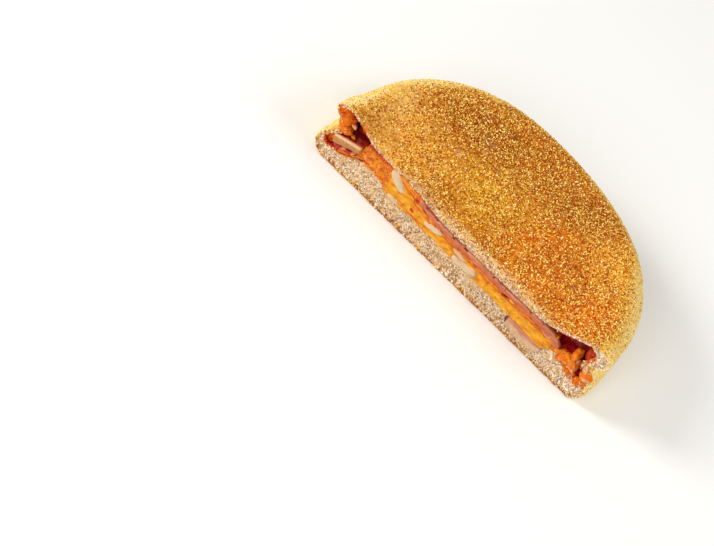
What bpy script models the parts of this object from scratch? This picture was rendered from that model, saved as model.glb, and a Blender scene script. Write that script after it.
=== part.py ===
"""Half of a filled English muffin, cut straight through its middle and lying on its base.

The bread is one shell of dough, open at the cut. In it lie a melted cheese layer with slices of onion,
a film and a ring of tomato sauce, and two slices of ham. The cut runs along X and faces -Y.

Every height and depth below is measured from the table (Z) and from the cut plane (Y), and an empty
carries the pieces to their place, so that the origin is under the middle of the half.
"""

import math

import bmesh
import bpy

MM = 0.001

# The bread
RADIUS = 48.8 * MM
RIM_WAVE = 0.35 * MM
RIM_FULLNESS = 2.25  # exponent of the outline: 2 is a circle, and more is fuller between the cut's ends and the back
CROWN_HEIGHT = 21.6 * MM
CROWN_WAVE = 0.35 * MM
CUT_EDGE_HEIGHT = 14.5 * MM  # the knife presses the middle of the cut edge down
LEFT_SWELL = 1.3 * MM
LEFT_LIP_RISE = 3.6 * MM
RIGHT_LIP_RISE = 5.1 * MM
SAG_REACH = 23 * MM  # how far back from the cut the pressed edge fades out
SHOULDER_ROUND = 7.5 * MM
LIP_ROUND = 2.6 * MM
BASE_ROUND = 5.0 * MM
LIP_REACH = 8 * MM  # how far along the rim the cut's lips reach
PINCH_DEPTH = 4.3 * MM
PINCH_HEIGHT = 12.5 * MM
PINCH_RISE = 2.2 * MM
PINCH_FALL = 4.6 * MM
PINCH_REACH = 9 * MM

# The pocket inside it
CRUST_THIN = 1.1 * MM
CRUST_MIDDLE = 0.7 * MM  # added to the roof's thickness in the middle of the cut
CRUST_BEHIND = 3.1 * MM  # and behind the cut
WALL_AT_CUT = 2.0 * MM
WALL_BEHIND = 4.0 * MM
POCKET_ROUND = 2.2 * MM
FLOOR_HEIGHT = 6.8 * MM
FLOOR_FADE = 14 * MM

# What lies in the pocket
GAP = 0.35 * MM
LUMP_AT = (40.9 * MM, 2.9 * MM, 12.5 * MM)
LUMP_HALF = (1.2 * MM, 2.3 * MM, 1.8 * MM)
LUMP_SWELL = 0.15
PROUD_FADE = 25 * MM  # how far behind the cut a layer's shift out of it fades
SAUCE_GAP = 0.75 * MM  # under the sauce, whose floor has steeper forms
CHEESE_CENTRE_X = 3.2 * MM
CHEESE_RADIUS = 29.8 * MM
CHEESE_PROUD = 0.5 * MM
HAM_CENTRE_X = 8.6 * MM
HAM_RADIUS = 24.4 * MM
HAM_THICKNESS = 1.2 * MM
HAM_PROUD = 0.8 * MM
SAUCE_FILM = 0.7 * MM
SAUCE_WALL_ROOM = 0.9 * MM
HOLLOW_DEPTH = 5 * MM  # the sauce has sunk back from the cut at both ends, down to a film
HOLLOW_LEFT_X = -35.2 * MM
HOLLOW_RIGHT_X = 33.1 * MM
HOLLOW_FILM = 1.0 * MM
HAM_FOLD_CENTRE_X = 26 * MM
HAM_FOLD_WIDTH = 12.4 * MM
HAM_FOLD_LENGTH = 16 * MM
HAM_FOLD_HEIGHT = 4.9 * MM
HAM_FOLD_DIP = 0.9 * MM
HAM_FOLD_THICKNESS = 3.2 * MM

RIM_STEPS = 44
LAYER_STEPS = 30  # of the filling's layers round their rims
REACH_ROUNDS = 8  # until the sauce's rim has settled against the wall
LAYER_RINGS = (0, 0.1, 0.2, 0.3, 0.4, 0.5, 0.6, 0.7, 0.8, 0.9, 1.0)  # shares of a layer's radius
ROOF_RINGS = 12
FLOOR_RINGS = 14
RIM_CROWDING = 0.62  # draws the steps of the rim towards the cut, where the lips are
MERGE = 0.001 * MM

# The dips and humps of the pocket's floor: centre along the cut, reach to each side, rise
FLOOR_FORMS = {
    "left corner": (-45 * MM, 8 * MM, -2.3 * MM),
    "crumb hump": (-31.5 * MM, 8 * MM, 3.2 * MM),
    "ham fold seat": (27 * MM, 9 * MM, -1.4 * MM),
    "right hump": (38.5 * MM, 7.5 * MM, 2.2 * MM),
}

# Name: centre along the cut, height, length, thickness, tilt in degrees, bow, depth into the pocket
ONIONS = {
    "onion_left_upper": (-39.6 * MM, 9.4 * MM, 8.8 * MM, 1.6 * MM, 17, 0.0 * MM, 6.5 * MM),
    "onion_left_lower": (-39.9 * MM, 7.45 * MM, 7.2 * MM, 1.1 * MM, 19, 0.2 * MM, 6 * MM),
    "onion_roof": (-23.8 * MM, 12.6 * MM, 6.4 * MM, 1.7 * MM, -33, 0.0 * MM, 8 * MM),
    "onion_small": (-22.1 * MM, 6.35 * MM, 3.6 * MM, 1.2 * MM, -8, 0.0 * MM, 6 * MM),
    "onion_middle": (-9.2 * MM, 9.35 * MM, 5.8 * MM, 1.3 * MM, 4, 0.2 * MM, 7 * MM),
    "onion_large": (2.9 * MM, 6.9 * MM, 7.8 * MM, 2.1 * MM, 13, 0.7 * MM, 9 * MM),
    "onion_large_cap": (0.4 * MM, 9.0 * MM, 4.2 * MM, 0.9 * MM, -6, 0.1 * MM, 7 * MM),
}
ONION_PROUD = 1.0 * MM
HALF_DEPTH = (RADIUS - ONION_PROUD) / 2  # from the origin back to the cut plane


def smooth(share):
    """0 below 0, 1 above 1, and an even S between."""
    share = min(max(share, 0.0), 1.0)
    return share * share * (3 - 2 * share)


def bump(place, centre, reach):
    """1 at the centre, falling smoothly to 0 at the reach."""
    share = min(abs(place - centre) / reach, 1.0)
    return (1 - share * share) ** 2


# ---- the bread's surfaces ----


def top_height(x, y):
    """Height of the upper crust: a low wavy crown behind, pressed down along the cut."""
    edge = CUT_EDGE_HEIGHT
    edge += LEFT_SWELL * smooth((-8 * MM - x) / (14 * MM))
    edge += LEFT_LIP_RISE * smooth((-33 * MM - x) / (11 * MM))
    edge += RIGHT_LIP_RISE * smooth((x - 30 * MM) / (13 * MM))
    waves = math.sin(x / (11 * MM) + 0.8) * math.sin(y / (9 * MM) + 0.4)
    crown = CROWN_HEIGHT + CROWN_WAVE * waves
    share = smooth(y / SAG_REACH)
    return edge * (1 - share) + crown * share


def roof_height(x, y):
    """Height of the pocket's roof, which is the underside of the upper crust."""
    thickness = CRUST_THIN + CRUST_MIDDLE * bump(x, 8 * MM, 34 * MM)
    behind = CRUST_BEHIND * smooth(y / SAG_REACH)
    return top_height(x, y) - thickness - behind


def floor_height(x, y):
    """Height of the pocket's floor, whose dips and hump fade out behind the cut."""
    forms = sum(rise * bump(x, at, reach) for at, reach, rise in FLOOR_FORMS.values())
    return FLOOR_HEIGHT + forms * (1 - smooth((y - 6 * MM) / FLOOR_FADE))


def from_cut(angle):
    """Length along the rim from the nearer end of the cut."""
    return RADIUS * min(angle, math.pi - angle)


def rim_radius(angle):
    """Radius of the widest part of the side, a little uneven as hand-laid dough is."""
    along, back = abs(math.cos(angle)) ** RIM_FULLNESS, math.sin(angle) ** RIM_FULLNESS
    return RADIUS * (along + back) ** (-1 / RIM_FULLNESS) + RIM_WAVE * math.sin(4 * angle)


def pinch(angle, height):
    """How far the side wall is folded in at this height: deep at the cut, gone a little behind it."""
    reach = PINCH_RISE if height > PINCH_HEIGHT else PINCH_FALL
    at_cut = math.exp(-((height - PINCH_HEIGHT) / reach) ** 2)
    return PINCH_DEPTH * at_cut * math.exp(-((from_cut(angle) / PINCH_REACH) ** 2))


def arc(centre_r, centre_z, radius, start, end, steps):
    """Points (r, z) on a quarter round, angles in degrees."""
    turns = [math.radians(start + (end - start) * i / steps) for i in range(steps + 1)]
    return [(centre_r + radius * math.cos(t), centre_z + radius * math.sin(t)) for t in turns]


def wall(top, bottom, radius, steps):
    """Points (r, z) down a straight wall, without its two ends."""
    return [(radius, top + (bottom - top) * i / steps) for i in range(1, steps)]


def outer_profile(angle):
    """The crust's outline (r, z) at this angle, from the middle of the top to the middle of the base."""
    rim = rim_radius(angle)
    lip = math.exp(-((from_cut(angle) / LIP_REACH) ** 2))
    shoulder = SHOULDER_ROUND + (LIP_ROUND - SHOULDER_ROUND) * lip
    flat = rim - shoulder
    top = top_height(flat * math.cos(angle), flat * math.sin(angle))
    rings = ROOF_RINGS
    over = [flat * i / rings for i in range(rings)]
    points = [(r, top_height(r * math.cos(angle), r * math.sin(angle))) for r in over]
    points += arc(flat, top - shoulder, shoulder, 90, 0, 4)
    points += wall(top - shoulder, BASE_ROUND, rim, 6)
    points += arc(rim - BASE_ROUND, BASE_ROUND, BASE_ROUND, 0, -90, 3)
    under = rim - BASE_ROUND
    points += [(under * (1 - i / FLOOR_RINGS), 0.0) for i in range(1, FLOOR_RINGS + 1)]
    return [(r - pinch(angle, z) * smooth(r / (20 * MM) - 1), z) for r, z in points]


def pocket_radius(angle):
    """Radius of the pocket's widest part: the wall is thin at the cut and thicker behind."""
    thin = math.exp(-((from_cut(angle) / LIP_REACH) ** 2))
    return rim_radius(angle) - WALL_BEHIND - (WALL_AT_CUT - WALL_BEHIND) * thin


def pocket_profile(angle):
    """The pocket's outline (r, z) at this angle, with as many points as the crust's outline."""
    rim = pocket_radius(angle)
    flat = rim - POCKET_ROUND
    x, y = flat * math.cos(angle), flat * math.sin(angle)
    roof, floor = roof_height(x, y), floor_height(x, y)
    over = [flat * i / ROOF_RINGS for i in range(ROOF_RINGS)]
    points = [(r, roof_height(r * math.cos(angle), r * math.sin(angle))) for r in over]
    points += arc(flat, roof - POCKET_ROUND, POCKET_ROUND, 90, 0, 3)
    points += wall(roof - POCKET_ROUND, floor + POCKET_ROUND, rim, 7)
    points += arc(flat, floor + POCKET_ROUND, POCKET_ROUND, 0, -90, 3)
    under = [flat * (1 - i / FLOOR_RINGS) for i in range(1, FLOOR_RINGS + 1)]
    points += [(r, floor_height(r * math.cos(angle), r * math.sin(angle))) for r in under]
    return [(r - pinch(angle, z) * smooth(r / (20 * MM) - 1), z) for r, z in points]


# ---- meshes ----


def rim_angles(steps=RIM_STEPS):
    """Angles round the half from its right end to its left end, closer together at the ends."""
    shares = [i / steps for i in range(steps + 1)]
    return [math.pi * (s - RIM_CROWDING * math.sin(math.tau * s) / math.tau) for s in shares]


def add_patch(mesh, columns, rows, place):
    """Adds a grid primitive whose vertex in a column and row goes where place(column, row) says."""
    made = bmesh.ops.create_grid(mesh, x_segments=columns - 1, y_segments=rows - 1, size=1)["verts"]
    for vertex in made:
        column = round((vertex.co.x + 1) / 2 * (columns - 1))
        row = round((vertex.co.y + 1) / 2 * (rows - 1))
        vertex.co = place(column, row)


def closed_object(name, mesh, collection, material):
    """Joins the patches along their shared edges and makes the object."""
    bmesh.ops.remove_doubles(mesh, verts=mesh.verts, dist=MERGE)
    bmesh.ops.dissolve_degenerate(mesh, edges=mesh.edges, dist=MERGE)
    bmesh.ops.recalc_face_normals(mesh, faces=mesh.faces)
    data = bpy.data.meshes.new(name)
    mesh.to_mesh(data)
    mesh.free()
    data.shade_smooth()
    data.set_sharp_from_angle(angle=math.radians(40))
    data.materials.append(material)
    made = bpy.data.objects.new(name, data)
    collection.objects.link(made)
    return made


def turned(profile, angle):
    """The profile's points as (x, y, z) at this angle round the middle of the cut."""
    return [(r * math.cos(angle), r * math.sin(angle), z) for r, z in profile]


def bread_shell(collection, material):
    """The dough: its crust, the skin of its pocket and the two cut faces that join them."""
    angles = rim_angles()
    crust = [turned(outer_profile(angle), angle) for angle in angles]
    pocket = [turned(pocket_profile(angle), angle) for angle in angles]
    mesh = bmesh.new()
    rows = len(crust[0])
    for skin in (crust, pocket):
        add_patch(mesh, len(angles), rows, lambda i, j, skin=skin: skin[i][j])
    for end in (0, -1):
        add_patch(mesh, 2, rows, lambda i, j, end=end: (crust, pocket)[i][end][j])
    return closed_object("bread", mesh, collection, material)


def slab(name, collection, material, centre_x, reaches, low, high, proud):
    """A layer that runs from the cut to its rim: reaches are its rings' radii at an angle.

    low and high give its under and upper side at (x, y), and proud how far it stands out of the cut.
    """
    angles = rim_angles(LAYER_STEPS)

    def point(side, i, j):
        radius = reaches(angles[i])[j]
        x, y = centre_x + radius * math.cos(angles[i]), radius * math.sin(angles[i])
        out = proud * max(1 - y / PROUD_FADE, 0)
        return x, y - out, side(x, y)

    rings = len(reaches(0.0))
    mesh = bmesh.new()
    for side in (low, high):
        add_patch(mesh, len(angles), rings, lambda i, j, side=side: point(side, i, j))
    add_patch(mesh, len(angles), 2, lambda i, j: point((low, high)[j], i, rings - 1))
    for end in (0, len(angles) - 1):
        add_patch(mesh, rings, 2, lambda j, k, end=end: point((low, high)[k], end, j))
    return closed_object(name, mesh, collection, material)


# ---- the filling ----


def ham_under(x, y):
    """Underside of the upper ham, which hangs just below the roof."""
    wave = 0.15 * MM * math.sin(x / (3.1 * MM)) * math.sin(y / (5 * MM) + 1)
    return roof_height(x, y) - GAP - HAM_THICKNESS - 0.15 * MM + wave


def ham_over(x, y):
    """Upper side of the upper ham."""
    return ham_under(x, y) + HAM_THICKNESS


def cheese_over(x, y):
    """Upper side of the cheese: under the sauce film and ham, and up to the roof left of the ham."""
    below_ham = roof_height(x, y) - HAM_THICKNESS - SAUCE_FILM - 3.2 * GAP
    below_roof = roof_height(x, y) - SAUCE_FILM - 2 * GAP
    share = smooth((HAM_CENTRE_X - HAM_RADIUS - 0.6 * MM - x) / (2 * MM))
    return below_ham * (1 - share) + below_roof * share


def cheese_under(x, y):
    """Underside of the cheese, on the floor of the pocket."""
    return floor_height(x, y) + GAP


def cheese_layer(collection, material):
    """The melted cheese, thick in the middle, with a thinner rounded rim."""

    def middle(x, y):
        return (cheese_under(x, y) + cheese_over(x, y)) / 2

    def full(x, y):
        out = math.hypot(x - CHEESE_CENTRE_X, y) / CHEESE_RADIUS
        return 1 - 0.6 * smooth((out - 0.9) / 0.1)

    return slab(
        "cheese",
        collection,
        material,
        CHEESE_CENTRE_X,
        lambda angle: [CHEESE_RADIUS * share for share in LAYER_RINGS],
        lambda x, y: middle(x, y) + (cheese_under(x, y) - middle(x, y)) * full(x, y),
        lambda x, y: middle(x, y) + (cheese_over(x, y) - middle(x, y)) * full(x, y),
        CHEESE_PROUD,
    )


def ham_upper(collection, material):
    """The slice of ham under the roof."""
    return slab(
        "ham_upper",
        collection,
        material,
        HAM_CENTRE_X,
        lambda angle: [(HAM_RADIUS + 0.4 * MM * math.sin(5 * angle)) * s for s in LAYER_RINGS],
        ham_under,
        ham_over,
        HAM_PROUD,
    )


def sauce_reach(angle):
    """Distance from the middle of the cheese to the clear side of the pocket's wall, at this angle."""
    reach = RADIUS
    for _ in range(REACH_ROUNDS):
        x, y = CHEESE_CENTRE_X + reach * math.cos(angle), reach * math.sin(angle)
        turn = math.atan2(y, x)
        clear = pocket_radius(turn) - pinch(turn, PINCH_HEIGHT) - SAUCE_WALL_ROOM
        reach += clear - math.hypot(x, y)
    return reach


def corner_drop(x, y):
    """How far the sauce keeps from roof and floor beside the wall, where the pocket is rounded."""
    turn = math.atan2(y, x)
    into = 1 - (pocket_radius(turn) - math.hypot(x, y)) / POCKET_ROUND
    into = min(max(into, 0.0), 1.0)
    return POCKET_ROUND * (1 - math.sqrt(1 - into * into))


def hollow_share(x, y):
    """1 in the hollows at both ends of the cut, 0 where the sauce reaches up to the roof."""
    left = smooth((HOLLOW_LEFT_X - x) / (1.5 * MM))
    right = smooth((x - HOLLOW_RIGHT_X) / (1.5 * MM))
    return max(left, right) * (1 - smooth((y - HOLLOW_DEPTH) / (3 * MM)))


def ring_share(x, y):
    """0 over the cheese, 1 in the ring of sauce round it."""
    out = math.hypot(x - CHEESE_CENTRE_X, y) - CHEESE_RADIUS
    return smooth((out - 0.5 * MM) / (0.8 * MM))


def sauce_under(x, y):
    """Underside of the sauce: on the cheese, and on the floor round it."""
    share = ring_share(x, y)
    ring = floor_height(x, y) + SAUCE_GAP + corner_drop(x, y)
    return (cheese_over(x, y) + GAP) * (1 - share) + ring * share


def sauce_over(x, y):
    """Upper side of the sauce: a film over the cheese, and the ring up to the roof or down in a hollow."""
    share, hollow = ring_share(x, y), hollow_share(x, y)
    film = cheese_over(x, y) + GAP + SAUCE_FILM
    full = roof_height(x, y) - GAP - corner_drop(x, y)
    sunk = floor_height(x, y) + SAUCE_GAP + corner_drop(x, y) + HOLLOW_FILM
    return film * (1 - share) + (full * (1 - hollow) + sunk * hollow) * share


def sauce(collection, material):
    """Tomato sauce: a film over the cheese and a ring round it, sunk at both ends of the cut."""

    def reaches(angle):
        film = [CHEESE_RADIUS * share for share in LAYER_RINGS]
        start = CHEESE_RADIUS + 1.3 * MM
        far = sauce_reach(angle)
        ring = [start + (far - start) * share for share in (0, 0.2, 0.4, 0.6, 0.85, 1.0)]
        return film + [CHEESE_RADIUS + 0.5 * MM] + ring

    return slab(
        "tomato_sauce",
        collection,
        material,
        CHEESE_CENTRE_X,
        reaches,
        sauce_under,
        sauce_over,
        0.0,
    )


def onion_cage(mesh, spec, grow):
    """A bent, tapered bar: cage of one slice of onion, grown by a margin where it is a cutter."""
    centre_x, centre_z, length, thickness, tilt, bow, depth = spec
    bmesh.ops.create_cube(mesh, size=1)
    across = [e for e in mesh.edges if abs(e.verts[0].co.x - e.verts[1].co.x) > 0.5]
    bmesh.ops.subdivide_edges(mesh, edges=across, cuts=3, use_grid_fill=True)
    slope = math.radians(tilt)
    for vertex in mesh.verts:
        u, v, w = vertex.co
        along = u * (length + 2 * grow)
        across = w * (thickness * (1 - 0.35 * abs(2 * u) ** 2) + 2 * grow) + bow * (2 * u) ** 2
        back = (v + 0.5) * (depth + ONION_PROUD + 2 * grow) - ONION_PROUD - grow
        vertex.co = (
            centre_x + along * math.cos(slope) - across * math.sin(slope),
            back,
            centre_z + along * math.sin(slope) + across * math.cos(slope),
        )


def onion_slice(name, spec, collection, material, grow=0.0):
    """One slice of onion, its edges rounded."""
    mesh = bmesh.new()
    onion_cage(mesh, spec, grow)
    made = closed_object(name, mesh, collection, material)
    rounding = made.modifiers.new("rounding", "BEVEL")
    rounding.width = 0.3 * MM
    rounding.segments = 1
    return made


def ham_fold(name, collection, material, grow=0.0):
    """The folded end of the lower slice of ham, sunk into the floor of the pocket."""
    mesh = bmesh.new()
    bmesh.ops.create_cube(mesh, size=1)
    across = [e for e in mesh.edges if abs(e.verts[0].co.x - e.verts[1].co.x) > 0.5]
    bmesh.ops.subdivide_edges(mesh, edges=across, cuts=9, use_grid_fill=True)
    for vertex in mesh.verts:
        u, v, w = vertex.co
        thickness = HAM_FOLD_THICKNESS * (1 - 0.45 * abs(2 * u) ** 4) + 2 * grow
        vertex.co = (
            HAM_FOLD_CENTRE_X + u * (HAM_FOLD_WIDTH + 2 * grow),
            (v + 0.5) * (HAM_FOLD_LENGTH + HAM_PROUD + 2 * grow) - HAM_PROUD - grow,
            HAM_FOLD_HEIGHT - HAM_FOLD_DIP * math.cos(math.pi * u) + w * thickness,
        )
    return closed_object(name, mesh, collection, material)


def cheese_lump(collection, material):
    """A lump of melted cheese that hangs in the hollow at the right end."""
    mesh = bmesh.new()
    bmesh.ops.create_icosphere(mesh, subdivisions=2, radius=1)
    for vertex in mesh.verts:
        swell = 1 + LUMP_SWELL * math.sin(3 * vertex.co.x + 1) * math.sin(2.5 * vertex.co.z + 2)
        vertex.co = [at + half * part * swell for at, half, part in zip(LUMP_AT, LUMP_HALF, vertex.co)]
    return closed_object("cheese_lump", mesh, collection, material)


# ---- finishes and assembly ----


def finish(name, colour, roughness):
    """A plain coloured material."""
    made = bpy.data.materials.new(name)
    made.use_nodes = True
    shader = made.node_tree.nodes["Principled BSDF"]
    shader.inputs["Base Color"].default_value = (*colour, 1)
    shader.inputs["Roughness"].default_value = roughness
    shader.inputs["Metallic"].default_value = 0
    return made


def cut_rooms(made, cutters):
    """Cuts the rooms of the pieces that are sunk into this one out of it."""
    room = made.modifiers.new("rooms", "BOOLEAN")
    room.operation = "DIFFERENCE"
    room.operand_type = "COLLECTION"
    room.collection = cutters
    room.solver = "EXACT"


def main():
    for old in list(bpy.data.objects):
        bpy.data.objects.remove(old)
    half = bpy.data.collections.new("english_muffin_half")
    cutters = bpy.data.collections.new("cutters")
    for collection in (half, cutters):
        bpy.context.scene.collection.children.link(collection)
    cutters.hide_render = True

    crust = finish("baked_dough", (0.62, 0.30, 0.08), 0.8)
    cheese = finish("melted_cheese", (0.80, 0.36, 0.03), 0.4)
    ham = finish("cooked_ham", (0.58, 0.20, 0.15), 0.45)
    tomato = finish("tomato_sauce", (0.42, 0.03, 0.01), 0.3)
    onion = finish("onion", (0.80, 0.62, 0.40), 0.35)

    holding = [bread_shell(half, crust), cheese_layer(half, cheese), sauce(half, tomato)]
    lying = [ham_upper(half, ham), cheese_lump(half, cheese), ham_fold("ham_fold", half, ham)]
    rooms = [ham_fold("ham_fold_room", cutters, ham, grow=GAP)]
    for name, spec in ONIONS.items():
        lying.append(onion_slice(name, spec, half, onion))
        rooms.append(onion_slice(name + "_room", spec, cutters, onion, grow=GAP))
    for room in rooms:
        room.hide_render = True
        room.display_type = "WIRE"
    for made in holding:
        cut_rooms(made, cutters)

    carrier = bpy.data.objects.new("half_frame", None)
    half.objects.link(carrier)
    carrier.location.y = -HALF_DEPTH
    for piece in holding + lying + rooms:
        piece.parent = carrier


main()
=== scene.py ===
"""Looks of one half of a filled English muffin, cut through its middle and lying on its baked underside.

The half is toasted dough with a sealed rim, dusted with semolina meal. Its cut shows melted cheese with
slices of onion, two slices of ham and tomato sauce. The cut runs along X and faces -Y, and heights start at
the table.
"""

import itertools
import logging
import math
from collections.abc import Callable, Sequence
from dataclasses import dataclass, field
from enum import Enum

import bmesh
import bpy
import numpy as np
from mathutils import Matrix, Vector


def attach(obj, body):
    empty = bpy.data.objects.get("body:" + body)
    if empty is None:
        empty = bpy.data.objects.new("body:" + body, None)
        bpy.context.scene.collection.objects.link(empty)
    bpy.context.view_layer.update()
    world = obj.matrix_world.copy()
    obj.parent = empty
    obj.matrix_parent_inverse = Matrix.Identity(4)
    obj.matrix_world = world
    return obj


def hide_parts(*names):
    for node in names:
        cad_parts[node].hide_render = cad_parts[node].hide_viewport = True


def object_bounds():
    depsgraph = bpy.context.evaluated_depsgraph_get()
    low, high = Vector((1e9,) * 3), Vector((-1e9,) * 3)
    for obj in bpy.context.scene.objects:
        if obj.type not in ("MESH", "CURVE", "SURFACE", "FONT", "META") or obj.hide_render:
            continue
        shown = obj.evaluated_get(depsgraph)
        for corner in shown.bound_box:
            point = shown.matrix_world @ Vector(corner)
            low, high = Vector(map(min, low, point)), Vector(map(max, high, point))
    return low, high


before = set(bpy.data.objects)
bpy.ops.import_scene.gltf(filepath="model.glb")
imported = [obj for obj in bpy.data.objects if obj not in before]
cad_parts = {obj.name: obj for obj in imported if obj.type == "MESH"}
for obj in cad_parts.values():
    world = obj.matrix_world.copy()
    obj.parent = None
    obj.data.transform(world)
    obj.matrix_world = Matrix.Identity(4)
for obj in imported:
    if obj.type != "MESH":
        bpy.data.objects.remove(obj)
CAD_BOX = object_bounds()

LOG = logging.getLogger("english_muffin_half")
MM = 0.001
BODY = "root"
Array = np.ndarray
Stretch = tuple[float, float, float]


# ---- numbers and colours ----


def smooth(share: Array | float) -> Array:
    """0 below 0, 1 above 1, and an even S between."""
    share = np.clip(share, 0.0, 1.0)
    return share * share * (3 - 2 * share)


def bump(place: Array | float, centre: float, reach: float) -> Array:
    """1 at the centre, falling smoothly to 0 at the reach."""
    share = np.minimum(np.abs(place - centre) / reach, 1.0)
    return (1 - share * share) ** 2


def linear(colour: str) -> Array:
    """Linear red, green and blue of an sRGB hex colour such as #C07A2A.

    Args:
        colour: the hex colour.

    Returns:
        Three numbers from 0 to 1.
    """
    parts = np.array([int(colour[i : i + 2], 16) / 255 for i in (1, 3, 5)])
    return np.where(parts <= 0.04045, parts / 12.92, ((parts + 0.055) / 1.055) ** 2.4)


def rgba(colour: str) -> tuple[float, float, float, float]:
    """A hex colour as a shader socket takes it."""
    return (*(float(part) for part in linear(colour)), 1.0)


def blend_colour(under: Array, over: Array, share: Array) -> Array:
    """Mixes a colour over another by a share for each point."""
    return under + (over - under) * np.clip(share, 0, 1)[..., None]


def hashed(cells: Array, seed: int) -> Array:
    """Draws an even random number from 0 to 1 for each cell.

    Args:
        cells: three whole numbers each.
        seed: which draw.

    Returns:
        One number for each cell.
    """
    x, y, z = (cells[..., i].astype(np.uint64) & np.uint64(0xFFFFFFFF) for i in range(3))
    mixed = x * np.uint64(0x9E3779B1) ^ y * np.uint64(0x85EBCA77) ^ z * np.uint64(0xC2B2AE3D)
    mixed ^= np.uint64(seed * 0x27D4EB2F & 0xFFFFFFFF)
    for _ in range(2):
        mixed = (mixed ^ (mixed >> np.uint64(15))) * np.uint64(0x2C1B3C6D) & np.uint64(0xFFFFFFFF)
        mixed = (mixed ^ (mixed >> np.uint64(13))) * np.uint64(0x297A2D39) & np.uint64(0xFFFFFFFF)
    return (mixed >> np.uint64(8)).astype(float) / 2**24


def lumps(points: Array, size: float, seed: int, octaves: int = 1) -> Array:
    """Smooth noise from -1 to 1 whose lumps are about the size across.

    Args:
        points: places, three numbers each.
        size: width of the largest lumps in metres.
        seed: which noise.
        octaves: how many finer layers there are, each half as wide and high as the one before.

    Returns:
        One number for each point.
    """
    total, weight_sum = 0.0, 0.0
    for octave in range(octaves):
        scaled = points / size * 2**octave
        cell = np.floor(scaled)
        part = scaled - cell
        fade = part * part * (3 - 2 * part)
        value = 0.0
        for corner in itertools.product((0, 1), repeat=3):
            shares = np.where(np.array(corner), fade, 1 - fade).prod(axis=-1)
            value = value + shares * hashed((cell + corner).astype(np.int64), seed + 17 * octave)
        total = total + (value * 2 - 1) * 0.5**octave
        weight_sum += 0.5**octave
    return total / weight_sum


def inside_box(points: Array) -> Array:
    """Moves points that stick out of the solids' box onto its sides."""
    low, high = (np.array(corner) for corner in CAD_BOX)
    return np.clip(points, low + 1e-6, high - 1e-6)


def swung(angle: float, r: Array, z: Array) -> Array:
    """Places of a profile's points, with the profile turned round the middle of the cut."""
    return np.stack([r * math.cos(angle), r * math.sin(angle), z], axis=-1)


def arc(r: float, z: float, radius: float, turn: tuple[float, float], steps: int) -> tuple[Array, Array]:
    """Makes a round stretch of a profile.

    Args:
        r: where its middle is, outwards.
        z: the height of its middle.
        radius: its radius.
        turn: the angles at which it starts and ends, in degrees.
        steps: how many steps it has.

    Returns:
        Radii and heights.
    """
    angles = np.radians(np.linspace(*turn, steps + 1))
    return r + radius * np.cos(angles), z + radius * np.sin(angles)


def pores(points: Array, size: float, seed: int) -> Array:
    """Spreads air bubbles through the dough.

    Args:
        points: places, three numbers each.
        size: how far apart the bubbles are, in metres.
        seed: which bubbles.

    Returns:
        0 between bubbles and towards 1 in the middle of one, for each point.
    """
    scaled = points / size
    cell = np.floor(scaled)
    nearest = np.full(scaled.shape[:-1], 9.0)
    for step in itertools.product((-1, 0, 1), repeat=3):
        home = (cell + step).astype(np.int64)
        seat = home + np.stack([hashed(home, seed + i) for i in range(3)], axis=-1)
        radius = 0.25 + 0.4 * hashed(home, seed + 9)
        nearest = np.minimum(nearest, np.linalg.norm(scaled - seat, axis=-1) / radius)
    return smooth(1.25 - nearest)


# ---- meshes ----


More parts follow.
